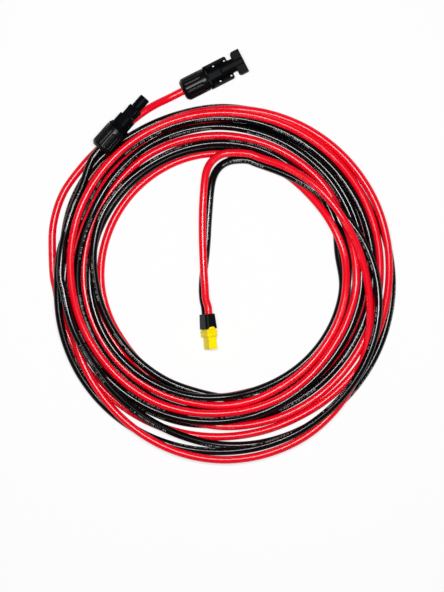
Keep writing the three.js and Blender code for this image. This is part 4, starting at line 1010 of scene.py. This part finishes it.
class LEAD_OT_mouth_nut(bpy.types.Operator):
    """Makes the mouth coupler's cap nut, with long rounded flutes that end in an arch"""

    bl_idname = "lead.mouth_nut"
    bl_label = "Mouth coupler nut"

    def execute(self, context):
        settings = context.scene.lead_coupler
        count, depth = settings.flutes, settings.flute_depth / MM
        length = MOUTH_NUT_LENGTH

        def relief(along, radius, angle):
            wave = 0.5 - 0.5 * np.cos(count * angle)
            groove = rise(*FLUTE_EDGE_SHARES, wave)
            rear, front = length - FLUTE_FRONT[1], length - FLUTE_FRONT[0]
            ends = rise(*FLUTE_REAR, along) * (1 - rise(rear, front, along + FLUTE_ARCH * wave))
            return -outside_of(radius) * depth * groove * ends

        outline = divided(eased(nut_outline(length), MOUTH_NUT_EASING), MOUTH_NUT_STEP)
        sides = count * SIDES_PER_FLUTE
        cap_nut("mouth_nut", "mouth_cap_nut", MOUTH_PLACE, outline, sides, relief, MOUTH_NUT_LOOK)
        return {"FINISHED"}


class LEAD_OT_nose_nut(bpy.types.Operator):
    """Makes the nose coupler's cap nut, with panels of slanted ribs between smooth bands"""

    bl_idname = "lead.nose_nut"
    bl_label = "Nose coupler nut"

    def execute(self, context):
        count, length = context.scene.lead_coupler.panels, NOSE_NUT_LENGTH

        def relief(along, radius, angle):
            wave = np.cos(count * angle)
            panel = rise(*PANEL_EDGE_SHARES, wave) * lengthwise(along, length, PANEL_REAR, PANEL_FRONT)
            slant = along / RIB_PITCH + angle * NUT_RADIUS / RIB_SLANT
            rib = rise(*RIB_EDGE_SHARES, np.cos(2 * math.pi * slant))
            valley = rise(*VALLEY_EDGE_SHARES, -wave) * lengthwise(along, length, VALLEY_REAR, VALLEY_FRONT)
            ring = rise(*RING_EDGE_SHARES, np.cos((along - length + RING_PLACE) * 2 * math.pi / RING_PITCH))
            rear = [length - margin for margin in RING_REAR]
            rings = ring * lengthwise(along, length, rear, RING_FRONT)
            ribbed = PANEL_DEPTH * panel * (1 - RIB_HEIGHT_SHARE * rib)
            return -outside_of(radius) * (ribbed + VALLEY_DEPTH * valley + RING_DEPTH * rings)

        outline = divided(eased(nut_outline(length), NOSE_NUT_EASING), NOSE_NUT_STEP)
        cap_nut("nose_nut", "nose_cap_nut", NOSE_PLACE, outline, NOSE_NUT_SIDES, relief, NOSE_NUT_LOOK)
        return {"FINISHED"}


class LEAD_OT_housings(bpy.types.Operator):
    """Makes the couplers' mouldings with eased edges"""

    bl_idname = "lead.housings"
    bl_label = "Coupler housings"

    def execute(self, context):
        nylon = context.scene.lead_coupler.nylon
        finish = nylon_finish("housing_nylon", nylon, *HOUSING_LOOK)
        jobs = [
            ("mouth_housing", "lead", MOUTH_PLACE, HOUSING_GRAIN),
            ("nose_housing", "lead", NOSE_PLACE, HOUSING_GRAIN),
            ("nose_arm_upper", "latch_upper", NOSE_PLACE, ARM_GRAIN),
            ("nose_arm_lower", "latch_lower", NOSE_PLACE, ARM_GRAIN),
        ]
        for node, body, place, grain in jobs:
            mesh = moulded(node + "_moulding", node, place, grain)
            piece = shown(node + "_moulding", mesh, body, finish, [node])
        return {"FINISHED"}


class LEAD_OT_plug(bpy.types.Operator):
    """Makes the plug's yellow housing and its black cap with eased edges"""

    bl_idname = "lead.plug"
    bl_label = "Plug mouldings"

    def execute(self, context):
        yellow = nylon_finish("plug_yellow_nylon", context.scene.lead_plug.yellow, *PLUG_LOOK)
        black = nylon_finish("plug_cap_nylon", context.scene.lead_coupler.nylon, *PLUG_CAP_LOOK)
        jobs = [("plug_housing", yellow, "yellow_nylon"), ("plug_cap", black, "black_nylon")]
        for node, finish, slot in jobs:
            mesh = moulded(node + "_moulding", node, PLUG_PLACE, PLUG_GRAIN)
            piece = shown(node + "_moulding", mesh, "lead", finish, [node])
        return {"FINISHED"}


class LEAD_OT_contacts(bpy.types.Operator):
    """Makes the turned contacts that show in the plug"""

    bl_idname = "lead.contacts"
    bl_label = "Turned contacts"

    def execute(self, context):
        gold = metal_finish("contact_gold", context.scene.lead_plug.gold, GOLD_ROUGHNESS)
        front = PLUG_LENGTH - PLUG_SOCKET_SETBACK
        cup_end = PLUG_CUP_START + PLUG_CUP_LENGTH
        outline = np.array([
            [cup_end, POLE_RADIUS],
            [cup_end, PLUG_SOCKET_BORE],
            [PLUG_CUP_START, PLUG_SOCKET_BORE],
            [PLUG_CUP_START, PLUG_SOCKET_RADIUS],
            [front, PLUG_SOCKET_RADIUS],
            [front, PLUG_SOCKET_BORE],
            [front - PLUG_PIN_DEPTH, PLUG_SOCKET_BORE],
            [front - PLUG_PIN_DEPTH, POLE_RADIUS],
        ])
        for pole, y in (("plus", PLUG_POLE_SPACING / 2), ("minus", -PLUG_POLE_SPACING / 2)):
            points, faces = turned(eased(outline, CONTACT_EASING, CONTACT_CORNER_STEPS), CONTACT_SIDES)
            mesh = mesh_of("contact_" + pole, carried(points + [0, y, 0], PLUG_PLACE), faces)
            piece = shown("plug_contact_" + pole, mesh, "lead", gold, ["plug_socket_" + pole])
        return {"FINISHED"}


class LEAD_OT_inner_parts(bpy.types.Operator):
    """Finishes the parts inside that keep their CAD shape"""

    bl_idname = "lead.inner_parts"
    bl_label = "Inner parts"

    def execute(self, context):
        nylon = nylon_finish("inner_nylon", context.scene.lead_coupler.nylon, *INNER_LOOK)
        rubber = rubber_finish("seal_rubber", RUBBER_COLOUR)
        tin = metal_finish("contact_tin", TIN_COLOUR, TIN_ROUGHNESS)
        steel = metal_finish("spring_steel", STEEL_COLOUR, STEEL_ROUGHNESS)
        copper = strands_finish("tinned_copper", COPPER_COLOUR)
        finishes = {
            "collet": nylon, "seal": rubber, "sleeve": rubber, "ring": rubber, "clip": steel,
            "spring": steel, "conductor": copper, "pin": tin, "socket": tin,
        }
        for name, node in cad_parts.items():
            kinds = [finish for part, finish in finishes.items() if part in name.split("_")]
            if kinds and not node.hide_render:
                node.data.materials.clear()
                node.data.materials.append(kinds[0])
        return {"FINISHED"}


class LEAD_OT_stage(bpy.types.Operator):
    """Makes the camera, the lamps and the white floor"""

    bl_idname = "lead.stage"
    bl_label = "Stage"

    def execute(self, context):
        scene, settings = context.scene, context.scene.lead_stage
        x, y = VIEW_CENTRE
        data = bpy.data.cameras.new("camera")
        data.lens = data.sensor_width * settings.camera_height / settings.view_height
        camera = bpy.data.objects.new("camera", data)
        camera.location = (x, y, settings.camera_height + VIEW_LEVEL)
        scene.collection.objects.link(camera)
        scene.camera = camera

        lamp = bpy.data.lights.new("key", "AREA")
        lamp.energy = settings.key_power
        lamp.shape = "RECTANGLE"
        lamp.size = settings.key_length
        lamp.size_y = settings.key_width
        key = bpy.data.objects.new("key", lamp)
        key.location = (x, y + LAMP_OFFSET, LAMP_HEIGHT)
        key.rotation_euler = (Vector((x, y, 0)) - key.location).to_track_quat("-Z", "Y").to_euler()
        key.visible_camera = False
        scene.collection.objects.link(key)

        scene.view_settings.view_transform = "Standard"
        world = bpy.data.worlds.new("room")
        world.use_nodes = True
        background = world.node_tree.nodes["Background"]
        background.inputs["Color"].default_value = WHITE
        background.inputs["Strength"].default_value = settings.world_light
        scene.world = world

        mesh = bpy.data.meshes.new("floor")
        corners = [(u * FLOOR_REACH, v * FLOOR_REACH, 0) for u, v in ((-1, -1), (1, -1), (1, 1), (-1, 1))]
        mesh.from_pydata(corners, [], [(0, 1, 2, 3)])
        floor = bpy.data.objects.new("floor", mesh)
        scene.collection.objects.link(floor)
        mesh.materials.append(floor_finish())
        return {"FINISHED"}


def floor_finish():
    """White paper: it takes the object's shadow, and the camera sees it a little lighter than it is lit."""
    finish = Finish("floor_paper", Roughness=FLOOR_ROUGHNESS, Specular_IOR_Level=FLOOR_SPECULAR)
    finish.shader.inputs["Base Color"].default_value = (*FLOOR_COLOUR, 1)
    rays = finish.tree.nodes.new("ShaderNodeLightPath")
    seen = [Wire(finish, rays.outputs[name]) for name in ("Is Camera Ray", "Is Transmission Ray")]
    glow = finish.node("ShaderNodeEmission", sockets={"Color": WHITE, "Strength": 1.0})
    share = finish.node("ShaderNodeClamp", sockets={0: (seen[0] + seen[1]) * FLOOR_GLOW_SHARE})
    surface = Wire(finish, finish.shader.outputs[0])
    mixed = finish.node("ShaderNodeMixShader", sockets={0: share, 1: surface, 2: glow})
    finish.tree.links.new(mixed.socket, finish.tree.nodes["Material Output"].inputs["Surface"])
    return finish.material


STEPS = (
    LEAD_OT_stage,
    LEAD_OT_cables,
    LEAD_OT_mouth_nut,
    LEAD_OT_nose_nut,
    LEAD_OT_housings,
    LEAD_OT_plug,
    LEAD_OT_contacts,
    LEAD_OT_inner_parts,
)
SETTINGS = {
    "lead_cable": CableSettings,
    "lead_coupler": CouplerSettings,
    "lead_plug": PlugSettings,
    "lead_stage": StageSettings,
}


class LEAD_PT_panel(bpy.types.Panel):
    """Lists the steps that make the lead"""

    bl_idname = "LEAD_PT_panel"
    bl_label = "Solar adapter lead"
    bl_space_type = "VIEW_3D"
    bl_region_type = "UI"
    bl_category = "Lead"

    def draw(self, context):
        for step in STEPS:
            self.layout.operator(step.bl_idname)


def register():
    for kind in (*SETTINGS.values(), *STEPS, LEAD_PT_panel):
        bpy.utils.register_class(kind)
    for name, kind in SETTINGS.items():
        setattr(bpy.types.Scene, name, PointerProperty(type=kind))


def unregister():
    for name in SETTINGS:
        delattr(bpy.types.Scene, name)
    for kind in reversed((*SETTINGS.values(), *STEPS, LEAD_PT_panel)):
        bpy.utils.unregister_class(kind)


def main():
    register()
    for step in STEPS:
        group, name = step.bl_idname.split(".")
        getattr(getattr(bpy.ops, group), name)()


if __name__ == "__main__":
    main()
